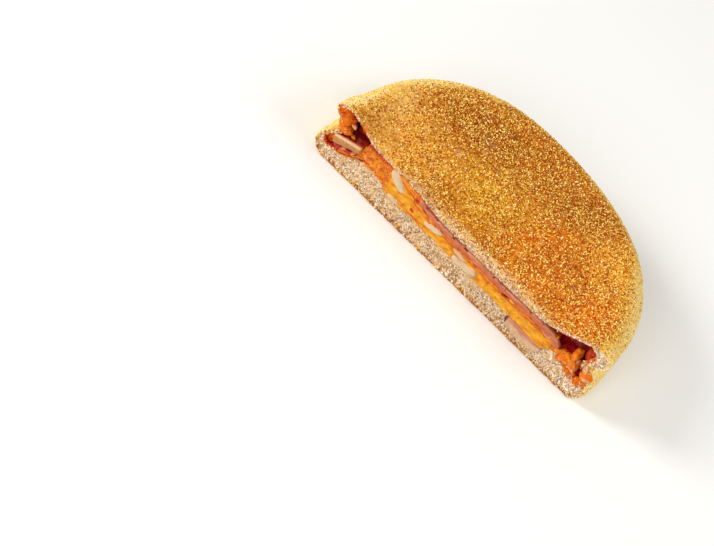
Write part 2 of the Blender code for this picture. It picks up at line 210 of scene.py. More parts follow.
class Solid:
    """Collects grids of points and makes one closed mesh object of them."""

    def __init__(self, name: str) -> None:
        """Starts an empty solid.

        Args:
            name: the name of the object that it becomes.
        """
        self.name = name
        self.points: list[Array] = []
        self.faces: list[Array] = []
        self.slots: list[Array] = []
        self.values: list[dict[str, Array]] = []
        self.count = 0

    def add_grid(self, points: Array, slot: int = 0, **values: Array) -> None:
        """Adds a grid of points as triangles.

        Args:
            points: an array of columns, rows and three numbers.
            slot: the material slot of its faces.
            values: a number, or a colour of three numbers, for each point, by attribute name.
        """
        columns, rows = points.shape[:2]
        index = np.arange(columns * rows).reshape(columns, rows) + self.count
        a, b, c, d = index[:-1, :-1], index[1:, :-1], index[1:, 1:], index[:-1, 1:]
        triangles = np.concatenate([np.stack([a, b, c], -1), np.stack([a, c, d], -1)])
        self.faces.append(triangles.reshape(-1, 3))
        self.slots.append(np.full(len(self.faces[-1]), slot))
        self.points.append(points.reshape(-1, 3))
        self.values.append({name: given.reshape(columns * rows, -1) for name, given in values.items()})
        self.count += columns * rows

    def add_loops(self, loops: Array, slot: int = 0, **values: Array) -> None:
        """Adds closed loops, one behind the other, and shuts both ends.

        Args:
            loops: an array of loops, points round each loop and three numbers.
            slot: the material slot of its faces.
            values: a number for each point, by attribute name.
        """

        def closed(array: Array) -> Array:
            """The same with each loop's first point again at its end."""
            return np.concatenate([array, array[:, :1]], axis=1)

        def capped(array: Array) -> Array:
            """The same with a loop drawn together to one point before and behind."""
            first, last = array[:1].mean(axis=1, keepdims=True), array[-1:].mean(axis=1, keepdims=True)
            width = array.shape[1]
            return np.concatenate([first.repeat(width, 1), array, last.repeat(width, 1)])

        shape = loops.shape[:2]
        full = {k: np.broadcast_to(v, shape + v.shape[2:]) for k, v in values.items()}
        self.add_grid(closed(capped(loops)), slot, **{k: closed(capped(v)) for k, v in full.items()})

    def make(self, materials: Sequence[bpy.types.Material], merge: float = 0.5e-6) -> bpy.types.Object:
        """Joins the grids along their shared edges and makes the object.

        Args:
            materials: one for each slot.
            merge: points nearer than this become one.

        Returns:
            The object, linked to the scene, its faces pointing outwards.
        """
        points, faces = inside_box(np.concatenate(self.points)), np.concatenate(self.faces)
        slots = np.concatenate(self.slots)
        _, kept, places = np.unique(
            np.round(points / merge).astype(np.int64), axis=0, return_index=True, return_inverse=True
        )
        faces = places.reshape(-1)[faces]
        whole = (faces != np.roll(faces, 1, axis=1)).all(axis=1)
        faces, slots = faces[whole], slots[whole]
        mesh = bpy.data.meshes.new(self.name)
        mesh.from_pydata(points[kept].tolist(), [], faces.tolist())
        mesh.polygons.foreach_set("material_index", slots.astype(np.int32))
        for material in materials:
            mesh.materials.append(material)
        shell = bmesh.new()
        shell.from_mesh(mesh)
        bmesh.ops.recalc_face_normals(shell, faces=shell.faces)
        shell.to_mesh(mesh)
        shell.free()
        widths = {name: given.shape[1] for part in self.values for name, given in part.items()}
        for name, width in widths.items():
            blank = [np.zeros((len(grid), width)) for grid in self.points]
            given = np.concatenate([part.get(name, none) for part, none in zip(self.values, blank)])[kept]
            if width == 3:
                layer = mesh.attributes.new(name, "FLOAT_COLOR", "POINT")
                layer.data.foreach_set("color", np.c_[given, np.ones(len(given))].ravel().astype(np.float32))
            else:
                layer = mesh.attributes.new(name, "FLOAT", "POINT")
                layer.data.foreach_set("value", given.ravel().astype(np.float32))
        mesh.shade_smooth()
        mesh.update()
        return scene_object(self.name, mesh)


def scene_object(name: str, data: bpy.types.ID) -> bpy.types.Object:
    """Makes an object of a mesh, a light or a camera and puts it in the scene."""
    made = bpy.data.objects.new(name, data)
    bpy.context.scene.collection.objects.link(made)
    return made


def declare(piece: bpy.types.Object, slot: str, *nodes: str) -> bpy.types.Object:
    """Lets a finished piece ride on the half and stand for its solids.

    Args:
        piece: the object.
        slot: the record's material slot; not used.
        nodes: the solids that it stands for.

    Returns:
        The piece.
    """
    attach(piece, BODY)
    if nodes:
        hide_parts(*nodes)
    piece.data.calc_loop_triangles()
    LOG.info("%s: %d triangles", piece.name, len(piece.data.loop_triangles))
    return piece


# ---- shader nodes ----

Setting = float | int | str | tuple | bpy.types.NodeSocket


def add_node(tree: bpy.types.NodeTree, kind: str, links: dict, **settings: object) -> bpy.types.Node:
    """Adds one node with its settings and links.

    Args:
        tree: the node tree.
        kind: the node's type name.
        links: a value or another node's output for each input, by name or number.
        settings: the node's own settings.

    Returns:
        The node.
    """
    made = tree.nodes.new(kind)
    for name, value in settings.items():
        setattr(made, name, value)
    for key, value in links.items():
        if isinstance(value, bpy.types.NodeSocket):
            tree.links.new(value, made.inputs[key])
        else:
            made.inputs[key].default_value = value
    return made


def random_value(
    tree: bpy.types.NodeTree, least: Setting, most: Setting, seed: int, vector: bool = False
) -> bpy.types.NodeSocket:
    """Adds an even random number, or three of them, for each point.

    Args:
        tree: the node tree.
        least: the least that comes out.
        most: the most that comes out.
        seed: which draw.
        vector: whether it is three numbers.

    Returns:
        The random value.
    """
    first, kind = (0, "FLOAT_VECTOR") if vector else (2, "FLOAT")
    links = {first: least, first + 1: most, "Seed": seed}
    return add_node(tree, "FunctionNodeRandomValue", links, data_type=kind).outputs[0 if vector else 1]


class Shader:
    """One node-based material that is being put together."""

    def __init__(self, name: str, **surface: Setting) -> None:
        """Starts a material with the numbers that are the same all over its surface.

        Args:
            name: the material's name.
            surface: values of the surface shader's sockets, with _ for a space.
        """
        self.material = bpy.data.materials.new(name)
        self.material.use_nodes = True
        self.tree = self.material.node_tree
        self.surface = self.tree.nodes["Principled BSDF"]
        for key, value in surface.items():
            self.surface.inputs[key.replace("_", " ")].default_value = value
        self.place = add_node(self.tree, "ShaderNodeTexCoord", {}).outputs["Object"]

    def noise(
        self, size: float, detail: float = 2.0, roughness: float = 0.5, stretch: Stretch = (1, 1, 1)
    ) -> bpy.types.NodeSocket:
        """Makes noise from about 0 to 1.

        Args:
            size: how wide its features are, in metres.
            detail: how many finer layers it has.
            roughness: how strong the finer layers are.
            stretch: how many times closer the features are along each axis.

        Returns:
            The noise.
        """
        place = self.place
        if stretch != (1, 1, 1):
            place = add_node(self.tree, "ShaderNodeMapping", {"Vector": place, "Scale": stretch}).outputs[0]
        links = {"Vector": place, "Scale": 1 / size, "Detail": detail, "Roughness": roughness}
        return add_node(self.tree, "ShaderNodeTexNoise", links).outputs[0]

    def spread(
        self, value: Setting, low: float, high: float, to_low: float = 0.0, to_high: float = 1.0
    ) -> bpy.types.NodeSocket:
        """Maps a value from one range to another and stops at its ends.

        Args:
            value: what is mapped.
            low: the value that gives to_low.
            high: the value that gives to_high.
            to_low: what comes out at low.
            to_high: what comes out at high.

        Returns:
            The mapped value.
        """
        links = {"Value": value, "From Min": low, "From Max": high, "To Min": to_low, "To Max": to_high}
        return add_node(self.tree, "ShaderNodeMapRange", links).outputs[0]

    def mix(self, share: Setting, under: Setting, over: Setting, how: str = "MIX") -> bpy.types.NodeSocket:
        """Lays one colour over another by a share."""
        links = {0: share, 6: under, 7: over}
        return add_node(self.tree, "ShaderNodeMix", links, data_type="RGBA", blend_type=how).outputs[2]

    def lay(
        self, under: Setting, over: str, where: Setting, low: float, high: float, most: float = 1.0
    ) -> bpy.types.NodeSocket:
        """Lays a colour over what is there, as far as a value goes from one number to another.

        Args:
            under: the colours so far.
            over: the sRGB colour that is laid on.
            where: the value that decides.
            low: the value up to which none of it shows.
            high: the value from which on it shows most.
            most: its share there.

        Returns:
            The colours.
        """
        return self.mix(self.spread(where, low, high, 0, most), under, rgba(over))

    def glow(self, weight: float, depth: float, radius: tuple[float, float, float]) -> None:
        """Lets light into the surface.

        Args:
            weight: how much of the light goes in.
            depth: how deep it goes, in metres.
            radius: the share of that depth for red, green and blue.
        """
        for name, value in (("Weight", weight), ("Scale", depth), ("Radius", radius)):
            self.surface.inputs[f"Subsurface {name}"].default_value = value

    def layer(self, name: str, number: bool = True) -> bpy.types.NodeSocket:
        """The mesh's own number or colour of this name."""
        node = add_node(self.tree, "ShaderNodeAttribute", {}, attribute_name=name)
        return node.outputs["Fac" if number else "Color"]

    def frayed(
        self, name: str, noise: bpy.types.NodeSocket, reach: float, low: float = 0.3, high: float = 0.7
    ) -> bpy.types.NodeSocket:
        """The mesh's own number with an uneven edge, as wet stains and torn layers have.

        Args:
            name: the number's name.
            noise: what makes it uneven.
            reach: by how much it is raised where the noise is high and lowered where it is low. Below 0 it is
                the other way round.
            low: the noise from which down it is lowered most.
            high: the noise from which up it is raised most.

        Returns:
            The number.
        """
        links = {0: self.layer(name), 1: self.spread(noise, low, high, -reach, reach)}
        return add_node(self.tree, "ShaderNodeMath", links, operation="ADD").outputs[0]

    def finish(
        self, colour: Setting, relief: bpy.types.NodeSocket | None = None, depth: float = 0.0, **more: Setting
    ) -> bpy.types.Material:
        """Joins colour, relief and any further sockets to the surface.

        Args:
            colour: the base colour.
            relief: heights for the bump, 0 to 1.
            depth: the height of 1, in metres.
            more: further sockets, with _ for a space.

        Returns:
            The material.
        """
        for key, value in {"Base Color": colour, **{k.replace("_", " "): v for k, v in more.items()}}.items():
            if isinstance(value, bpy.types.NodeSocket):
                self.tree.links.new(value, self.surface.inputs[key])
            else:
                self.surface.inputs[key].default_value = value
        if relief is not None:
            links = {"Height": relief, "Distance": depth, "Strength": 1.0}
            bumped = add_node(self.tree, "ShaderNodeBump", links)
            self.tree.links.new(bumped.outputs[0], self.surface.inputs["Normal"])
        return self.material


# ---- the dough's form ----


@dataclass(frozen=True)
class Steps:
    """How many steps each stretch of the dough's profile has."""

    over: int
    shoulder: int
    wall: int
    base_bend: int
    under: int


@dataclass(frozen=True)
class DoughForm:
    """Sizes and surfaces of the dough, in metres from the middle of the cut. +Y goes into the half."""

    radius: float = 48.8 * MM
    rim_wave: float = 0.35 * MM
    rim_fullness: float = 2.25
    crown_height: float = 21.6 * MM
    crown_wave: float = 0.35 * MM
    cut_edge_height: float = 14.5 * MM
    left_swell: float = 1.3 * MM
    left_lip_rise: float = 3.6 * MM
    right_lip_rise: float = 5.1 * MM
    sag_reach: float = 23 * MM
    shoulder_round: float = 7.5 * MM
    lip_round: float = 2.6 * MM
    base_round: float = 5.0 * MM
    lip_reach: float = 8 * MM
    pinch_depth: float = 4.3 * MM
    pinch_height: float = 12.5 * MM
    pinch_rise: float = 2.2 * MM
    pinch_fall: float = 4.6 * MM
    pinch_reach: float = 9 * MM
    crust_thin: float = 1.1 * MM
    crust_middle: float = 0.7 * MM
    crust_behind: float = 3.1 * MM
    wall_at_cut: float = 2.0 * MM
    wall_behind: float = 4.0 * MM
    pocket_round: float = 2.2 * MM
    floor: float = 6.8 * MM
    floor_fade: float = 14 * MM
    half_depth: float = 23.9 * MM
    rim_crowding: float = 0.62
    skin: float = 0.26 * MM  # room between the solid's outside and the bare crust, for the meal on it
    floor_forms: tuple[tuple[float, float, float], ...] = (
        (-45 * MM, 8 * MM, -2.3 * MM),
        (-31.5 * MM, 8 * MM, 3.2 * MM),
        (27 * MM, 9 * MM, -1.4 * MM),
        (38.5 * MM, 7.5 * MM, 2.2 * MM),
    )

    def top(self, x: Array, y: Array) -> Array:
        """Height of the upper crust: a low wavy crown behind, pressed down along the cut.

        Args:
            x: places along the cut.
            y: distances behind the cut.

        Returns:
            Heights.
        """
        edge = self.cut_edge_height + self.left_swell * smooth((-8 * MM - x) / (14 * MM))
        edge = edge + self.left_lip_rise * smooth((-33 * MM - x) / (11 * MM))
        edge = edge + self.right_lip_rise * smooth((x - 30 * MM) / (13 * MM))
        waves = np.sin(x / (11 * MM) + 0.8) * np.sin(y / (9 * MM) + 0.4)
        share = smooth(y / self.sag_reach)
        return edge * (1 - share) + (self.crown_height + self.crown_wave * waves) * share

    def roof(self, x: Array, y: Array) -> Array:
        """Height of the pocket's roof."""
        thickness = self.crust_thin + self.crust_middle * bump(x, 8 * MM, 34 * MM)
        return self.top(x, y) - thickness - self.crust_behind * smooth(y / self.sag_reach)

    def ground(self, x: Array, y: Array) -> Array:
        """Height of the pocket's floor, whose forms fade out behind the cut."""
        forms = sum(rise * bump(x, at, reach) for at, reach, rise in self.floor_forms)
        return self.floor + forms * (1 - smooth((y - 6 * MM) / self.floor_fade))

    def from_cut(self, angle: Array) -> Array:
        """Length along the rim from the nearer end of the cut."""
        return self.radius * np.minimum(angle, math.pi - angle)

    def rim(self, angle: Array) -> Array:
        """Radius of the widest part of the side, a little fuller than a circle."""
        along, back = (np.abs(share) ** self.rim_fullness for share in (np.cos(angle), np.sin(angle)))
        return self.radius * (along + back) ** (-1 / self.rim_fullness) + self.rim_wave * np.sin(4 * angle)

    def pinch(self, angle: Array, height: Array) -> Array:
        """How far the side is folded in: deep at the cut, gone a little behind it.

        Args:
            angle: angles round the middle of the cut.
            height: heights on the side.

        Returns:
            Depths of the fold.
        """
        reach = np.where(height > self.pinch_height, self.pinch_rise, self.pinch_fall)
        at_cut = np.exp(-(((height - self.pinch_height) / reach) ** 2))
        return self.pinch_depth * at_cut * np.exp(-((self.from_cut(angle) / self.pinch_reach) ** 2))

    def folded(self, angle: float, r: Array, z: Array) -> tuple[Array, Array]:
        """A profile's radii and heights, with the fold of the side pressed into them."""
        return r - self.pinch(angle, z) * smooth(r / (20 * MM) - 1), z

    def outside(self, angle: float, steps: Steps, inset: float = 0.0) -> tuple[Array, Array]:
        """The crust's profile at an angle, from the middle of the top to the middle of the base.

        Args:
            angle: the angle round the middle of the cut.
            steps: how finely it is divided.
            inset: how far the skin lies inside the solid's outside.

        Returns:
            Radii and heights.
        """
        rim = float(self.rim(angle)) - inset
        lip = math.exp(-((float(self.from_cut(angle)) / self.lip_reach) ** 2))
        shoulder = self.shoulder_round + (self.lip_round - self.shoulder_round) * lip
        flat = rim - shoulder
        cos, sin = math.cos(angle), math.sin(angle)
        high = float(self.top(flat * cos, flat * sin)) - inset
        r = flat * np.arange(steps.over) / steps.over
        over = r, self.top(r * cos, r * sin) - inset
        bend = arc(flat, high - shoulder, shoulder, (90, 0), steps.shoulder)
        drop = np.linspace(high - shoulder, self.base_round, steps.wall + 1)[1:-1]
        under = rim - self.base_round
        heel = arc(under, self.base_round, self.base_round, (0, -90), steps.base_bend)
        inward = under * (1 - np.arange(1, steps.under + 1) / steps.under)
        parts = [over, bend, (np.full_like(drop, rim), drop), heel, (inward, np.zeros_like(inward))]
        return self.folded(angle, *(np.concatenate(part) for part in zip(*parts)))

    def inside(self, angle: float, steps: Steps) -> tuple[Array, Array]:
        """The pocket's profile at an angle, with as many points as the crust's profile.

        Args:
            angle: the angle round the middle of the cut.
            steps: how finely it is divided.

        Returns:
            Radii and heights, from the middle of the roof to the middle of the floor.
        """
        thin = math.exp(-((float(self.from_cut(angle)) / self.lip_reach) ** 2))
        rim = float(self.rim(angle)) - self.wall_behind - (self.wall_at_cut - self.wall_behind) * thin
        flat = rim - self.pocket_round
        cos, sin = math.cos(angle), math.sin(angle)
        high = float(self.roof(flat * cos, flat * sin)) - self.pocket_round
        low = float(self.ground(flat * cos, flat * sin)) + self.pocket_round
        r = flat * np.arange(steps.over) / steps.over
        over = r, self.roof(r * cos, r * sin)
        upper = arc(flat, high, self.pocket_round, (90, 0), steps.shoulder)
        drop = np.linspace(high, low, steps.wall + 1)[1:-1]
        lower = arc(flat, low, self.pocket_round, (0, -90), steps.base_bend)
        inward = flat * (1 - np.arange(1, steps.under + 1) / steps.under)
        under = inward, self.ground(inward * cos, inward * sin)
        parts = [over, upper, (np.full_like(drop, rim), drop), lower, under]
        return self.folded(angle, *(np.concatenate(part) for part in zip(*parts)))

    def angles(self, steps: int) -> Array:
        """Angles round the half from its right end to its left end, closer together at the ends."""
        shares = np.linspace(0, 1, steps + 1)
        return math.pi * (shares - self.rim_crowding * np.sin(math.tau * shares) / math.tau)

    def placed(self, x: Array, y: Array, z: Array) -> Array:
        """Points measured from the middle of the cut, as points of the whole frame."""
        return np.stack(np.broadcast_arrays(x, y - self.half_depth, z), axis=-1)

    def framed(self, points: Array) -> Array:
        """The same for points whose three numbers are together already."""
        return self.placed(*np.moveaxis(points, -1, 0))


# ---- finishes ----


@dataclass(frozen=True)
class Patch:
    """A stretch of crust that took more or less heat, in mm from the middle of the cut."""

    x: float
    y: float
    reach_x: float
    reach_y: float
    colour: str
    strength: float


@dataclass(frozen=True)
class Browning:
    """Colours that the griddle left on the crust.

    A griddled muffin browns where its flat top touches the iron and stays pale and floury round its side.
    """

    toast: str = "#BC6810"
    side: str = "#F6E2A0"
    rim: str = "#EBB94E"
    base: str = "#A9631F"
    patches: tuple[Patch, ...] = (
        Patch(26, 14, 26, 22, "#E87A0C", 0.85),
        Patch(2, 40, 26, 15, "#C0640A", 0.8),
        Patch(-19, 25, 15, 12, "#A4520A", 0.9),
        Patch(-13, 33, 7, 4, "#8A4408", 0.85),
        Patch(13, 31, 14, 9, "#AC5408", 0.75),
        Patch(23, 14, 12, 9, "#B0520A", 0.65),
        Patch(-5, 14, 15, 12, "#D2941C", 0.95),
        Patch(-22, 8, 12, 10, "#E2A03C", 0.8),
        Patch(34, 27, 13, 13, "#FFB434", 0.9),
        Patch(38, 8, 9, 9, "#DC6408", 0.6),
        Patch(-38, 12, 13, 15, "#E6A64A", 0.9),
        Patch(-40, 17, 5, 8, "#E6BC66", 0.6),
        Patch(-29, 15, 4, 7, "#E0AC48", 0.5),
        Patch(-29, 2, 11, 4, "#FFC054", 0.7),
        Patch(3, 0.3, 42, 2.2, "#F0CC98", 0.85),
    )

    def colours(self, form: DoughForm, x: Array, y: Array, z: Array) -> Array:
        """Colour of the bare crust at each point.

        Args:
            form: the dough's form.
            x: places along the cut.
            y: distances behind the cut.
            z: heights.

        Returns:
            Linear red, green and blue for each point.
        """
        place = np.stack([x, y, z], axis=-1)
        drift_x, drift_y = 3 * MM * lumps(place, 9 * MM, 5, 2), 3 * MM * lumps(place, 9 * MM, 6, 2)
        colour = np.broadcast_to(linear(self.toast), place.shape).copy()
        for patch in self.patches:
            along = (x + drift_x - patch.x * MM) / (patch.reach_x * MM)
            across = (y + drift_y - patch.y * MM) / (patch.reach_y * MM)
            share = patch.strength * smooth(1.15 - np.hypot(along, across))
            colour = blend_colour(colour, linear(patch.colour), share)
        blotches = lumps(place, 3.2 * MM, 7, 3)
        colour = colour * (1 + 0.2 * blotches[..., None])
        radius = np.hypot(x, y)
        edge = (radius + 1.4 * drift_x - form.radius) / MM
        right = smooth((x / MM - 22) / 20)
        rim = smooth((edge + 6.5 + 2.5 * right) / 4.5)
        colour = blend_colour(colour, linear(self.rim), rim * 0.85)
        side = smooth((edge + 4.2 + 1.2 * right) / 3.4)
        golden = 0.5 * smooth(2.2 * lumps(place * np.array([1, 1, 1.5]), 6 * MM, 8, 3) - 0.1)
        flank = blend_colour(np.broadcast_to(linear(self.side), place.shape), linear(self.rim), golden)
        colour = blend_colour(colour, flank, side)
        under = smooth((1.6 * MM + 0.9 * MM * blotches - z) / (1.5 * MM))
        base = linear(self.base) * (1 + 0.3 * lumps(place, 7 * MM, 11, 3)[..., None])
        inner = smooth((form.radius - 3 * MM - radius) / (2 * MM))
        return blend_colour(colour, base, under * (0.35 + 0.65 * inner))


@dataclass(frozen=True)
class MealFinish:
    """Semolina: hard translucent grains of durum wheat with glassy broken faces, so each one glints."""

    dark: str
    light: str
    crust_share: float
    roughness: float = 0.4
    gloss: float = 0.2

    def material(self, name: str) -> bpy.types.Material:
        """Makes the grains' material, which takes some of its colour from the crust under it.

        Args:
            name: the material's name.

        Returns:
            The material.
        """
        shader = Shader(name, Roughness=self.roughness, Specular_IOR_Level=self.gloss)
        grain = shader.layer("grain")
        own = shader.mix(grain, rgba(self.dark), rgba(self.light))
        clump = shader.noise(0.75 * MM, 2, 0.5)
        own = shader.lay(own, self.light, clump, 0.53, 0.63, 0.85)
        own = shader.lay(own, self.dark, clump, 0.47, 0.37, 0.85)
        return shader.finish(shader.mix(self.crust_share, own, shader.layer("tint", number=False)))


@dataclass(frozen=True)
class CrustFinish:
    """Griddled muffin crust: matt, leathery, finely blistered, with a haze of flour in its hollows, painted
    light on the tops of its fine bumps and painted shade in the low parts between them.
    """

    flour: str = "#F0DDB4"
    scorch: str = "#8A4A18"
    # The next colour is painted light on the raised bumps of the relief, and the one after it is painted
    # shade in its low parts.
    bump_top_light: str = "#FFD070"
    crease_shade: str = "#9C5420"
    freckle: str = "#7A4A1C"

    def material(self) -> bpy.types.Material:
        """Makes the crust's material from the mesh's own tint.

        Returns:
            The material.
        """
        shader = Shader("griddled_crust", Roughness=0.85, Specular_IOR_Level=0.15)
        tint = shader.layer("tint", number=False)
        fine = shader.noise(0.7 * MM, 4, 0.65)
        spots = shader.noise(2.1 * MM, 5, 0.6)
        # Painted light and shade: where the fine relief is high the crust is painted lighter, and where it is
        # low it is painted darker.
        raised = shader.mix(0.4, tint, rgba(self.bump_top_light))
        shaded_creases = shader.mix(1.0, tint, rgba(self.crease_shade), "MULTIPLY")
        colour = shader.mix(shader.spread(fine, 0.52, 0.66, 0, 0.7), tint, raised)
        colour = shader.mix(shader.spread(fine, 0.48, 0.34, 0, 0.8), colour, shaded_creases)
        colour = shader.lay(colour, self.scorch, spots, 0.56, 0.68, 0.35)
        colour = shader.lay(colour, self.flour, spots, 0.42, 0.3, 0.3)
        freckles = shader.noise(1.3 * MM, 1, 0.4)
        colour = shader.lay(colour, self.freckle, freckles, 0.79, 0.83, 0.8)
        return shader.finish(colour, fine, 0.16 * MM)


@dataclass(frozen=True)
class CrumbFinish:
    """Soft white-flour crumb, torn by the knife: pale fibres stand up, partly painted light, and the small
    warm shadows that they throw are painted shade in the low parts of its relief and in its pores.
    """

    pale: str = "#E6C496"
    warm: str = "#CFA268"
    # Painted shade for the low parts of the relief and for the pores.
    hollow: str = "#94592A"
    # Pale fibres, partly painted light on the raised parts of the relief.
    fibre_and_painted_light: str = "#FFF0D6"
    orange: str = "#DE6C04"
    red: str = "#A41A14"

    def material(self, name: str, wet: bool = False) -> bpy.types.Material:
        """Makes the crumb's material, stained by sauce where the mesh says so.

        Args:
            name: the material's name.
            wet: whether the surface is the pocket's skin, which the sauce has soaked.

        Returns:
            The material.
        """
        shader = Shader(name, Specular_IOR_Level=0.1)
        shader.glow(0.1, 0.6 * MM, (1.0, 0.75, 0.45))
        fine = shader.noise(0.42 * MM, 4, 0.6, (1, 1, 0.75))
        broad = shader.noise(3.5 * MM, 3, 0.6)
        colour = shader.mix(shader.spread(broad, 0.35, 0.65, 0.1, 0.8), rgba(self.pale), rgba(self.warm))
        # Painted light and shade: the raised parts of the fine relief are painted paler, and its low parts
        # and the pores darker.
        colour = shader.lay(colour, self.fibre_and_painted_light, fine, 0.5, 0.72, 0.75)
        colour = shader.lay(colour, self.hollow, fine, 0.46, 0.34, 0.75)
        colour = shader.lay(colour, self.hollow, shader.layer("hole"), 0.1, 0.9, 0.4)
        crust = shader.spread(shader.frayed("crusty", fine, 0.3), 0.35, 0.8)
        colour = shader.mix(crust, colour, shader.layer("tint", number=False))
        soak = shader.frayed("stain", shader.noise(1.6 * MM, 4, 0.6), 0.22)
        colour = shader.lay(colour, self.orange, soak, 0.2, 0.44)
        colour = shader.lay(colour, self.red, soak, 0.62, 0.86, 0.95)
        rough = shader.spread(soak, 0.3, 0.8, 0.85, 0.45)
        return shader.finish(colour, fine, (0.16 if wet else 0.25) * MM, Roughness=rough)


@dataclass(frozen=True)
class CheeseFinish:
    """Melted process cheese: smooth, oily and slightly translucent, with streaks of sauce drawn into it,
    painted glints on its raised streaks and painted shade in its pit and holes.
    """

    body: str = "#D68A08"
    light: str = "#E6A214"
    deep: str = "#C8660A"
    # Painted highlight: glint specks on the cheese's raised streaks.
    painted_glint: str = "#F8C850"
    sauce: str = "#BE4E08"
    dark: str = "#8A1410"

    def material(self, name: str) -> bpy.types.Material:
        """Makes the cheese's material.

        Args:
            name: the material's name.

        Returns:
            The material.
        """
        shader = Shader(name, Roughness=0.25, Specular_IOR_Level=0.22)
        shader.glow(0.2, 1 * MM, (1.0, 0.55, 0.15))
        broad = shader.noise(2.2 * MM, 4, 0.6, (0.45, 1, 1.5))
        fine = shader.noise(0.6 * MM, 3, 0.6)
        drawn = shader.noise(0.9 * MM, 3, 0.55, (0.3, 1, 1.3))
        colour = shader.lay(rgba(self.body), self.light, broad, 0.4, 0.62)
        colour = shader.lay(colour, self.deep, drawn, 0.5, 0.36, 0.85)
        # Painted highlight on the raised drawn streaks.
        colour = shader.lay(colour, self.painted_glint, drawn, 0.58, 0.7, 0.7)
        sauce = shader.frayed("stain", fine, 0.2)
        colour = shader.lay(colour, self.sauce, sauce, 0.35, 0.75, 0.95)
        # Dark red: painted shade in the pit and in the spot where a hole shows, and the colour of the sauce
        # on the cheese's ends deep in the hollows.
        colour = shader.lay(colour, self.dark, sauce, 1.05, 1.3, 0.95)
        return shader.finish(colour, shader.mix(0.4, drawn, fine), 0.3 * MM)


@dataclass(frozen=True)
class HamFinish:
    """Cooked ham, sliced thin: moist pink meat with pale fat and a greyish edge where it touches bread."""

    meat: str = "#C47452"
    deep: str = "#B25C3C"
    fat: str = "#D69C74"
    sauce: str = "#C45412"
    dark: str = "#5A200C"

    def material(self, name: str) -> bpy.types.Material:
        """Makes the ham's material, its marbling drawn out along the slice.

        Args:
            name: the material's name.

        Returns:
            The material.
        """
        shader = Shader(name, Roughness=0.36, Specular_IOR_Level=0.3)
        shader.glow(0.2, 1 * MM, (1.0, 0.5, 0.35))
        grain = shader.noise(1.1 * MM, 4, 0.6, (0.2, 0.6, 1.8))
        fine = shader.noise(0.45 * MM, 3, 0.6, (0.5, 1, 1))
        colour = shader.lay(rgba(self.deep), self.meat, grain, 0.38, 0.62)
        colour = shader.lay(colour, self.fat, grain, 0.58, 0.72, 0.8)
        colour = shader.lay(colour, self.fat, shader.layer("fat"), 0.2, 1.0, 0.8)
        sauce = shader.frayed("stain", fine, 0.2)
        colour = shader.lay(colour, self.sauce, sauce, 0.3, 0.8, 0.9)
        colour = shader.lay(colour, self.dark, sauce, 1.0, 1.3, 0.95)
        return shader.finish(colour, shader.mix(0.4, grain, fine), 0.2 * MM)


@dataclass(frozen=True)
class SauceFinish:
    """Cooked tomato sauce: a glossy oily film, orange where it is thin and red where it is deep."""

    thin: str = "#E48C1C"
    body: str = "#C04A0A"
    deep: str = "#A0141E"

    def material(self, name: str) -> bpy.types.Material:
        """Makes the sauce's material.

        Args:
            name: the material's name.

        Returns:
            The material.
        """
        shader = Shader(name, Roughness=0.3, Specular_IOR_Level=0.2)
        shader.glow(0.15, 0.6 * MM, (1.0, 0.4, 0.15))
        broad = shader.noise(0.9 * MM, 4, 0.6, (0.55, 1, 1.2))
        depth = shader.frayed("stain", broad, -0.32, 0.32, 0.68)
        colour = shader.lay(rgba(self.thin), self.body, depth, 0.05, 0.45)
        colour = shader.lay(colour, self.deep, depth, 0.5, 0.85)
        return shader.finish(colour, broad, 0.3 * MM)


@dataclass(frozen=True)
class OnionFinish:
    """Cooked onion: glassy and pale, with faint veins along the slice and bright cut edges."""

    flesh: str = "#D6BC9A"
    vein: str = "#C6A27A"
    edge: str = "#F2E0C2"
    soaked: str = "#DE8A34"
    sauced: str = "#9E1A20"

    def material(self, name: str) -> bpy.types.Material:
        """Makes the onion's material.

        Args:
            name: the material's name.

        Returns:
            The material.
        """
        shader = Shader(name, Roughness=0.26, Specular_IOR_Level=0.3)
        shader.glow(0.15, 1.5 * MM, (1.0, 0.75, 0.45))
        veins = shader.noise(0.9 * MM, 3, 0.55, (0.2, 0.5, 2.2))
        colour = shader.lay(rgba(self.flesh), self.vein, veins, 0.4, 0.62)
        colour = shader.lay(colour, self.edge, shader.layer("rim"), 0.3, 1.0, 0.8)
        stain = shader.frayed("stain", veins, 0.15)
        colour = shader.lay(colour, self.soaked, stain, 0.15, 0.5, 0.75)
        colour = shader.lay(colour, self.sauced, stain, 0.6, 0.9)
        return shader.finish(colour, veins, 0.12 * MM)


# ---- the dough ----


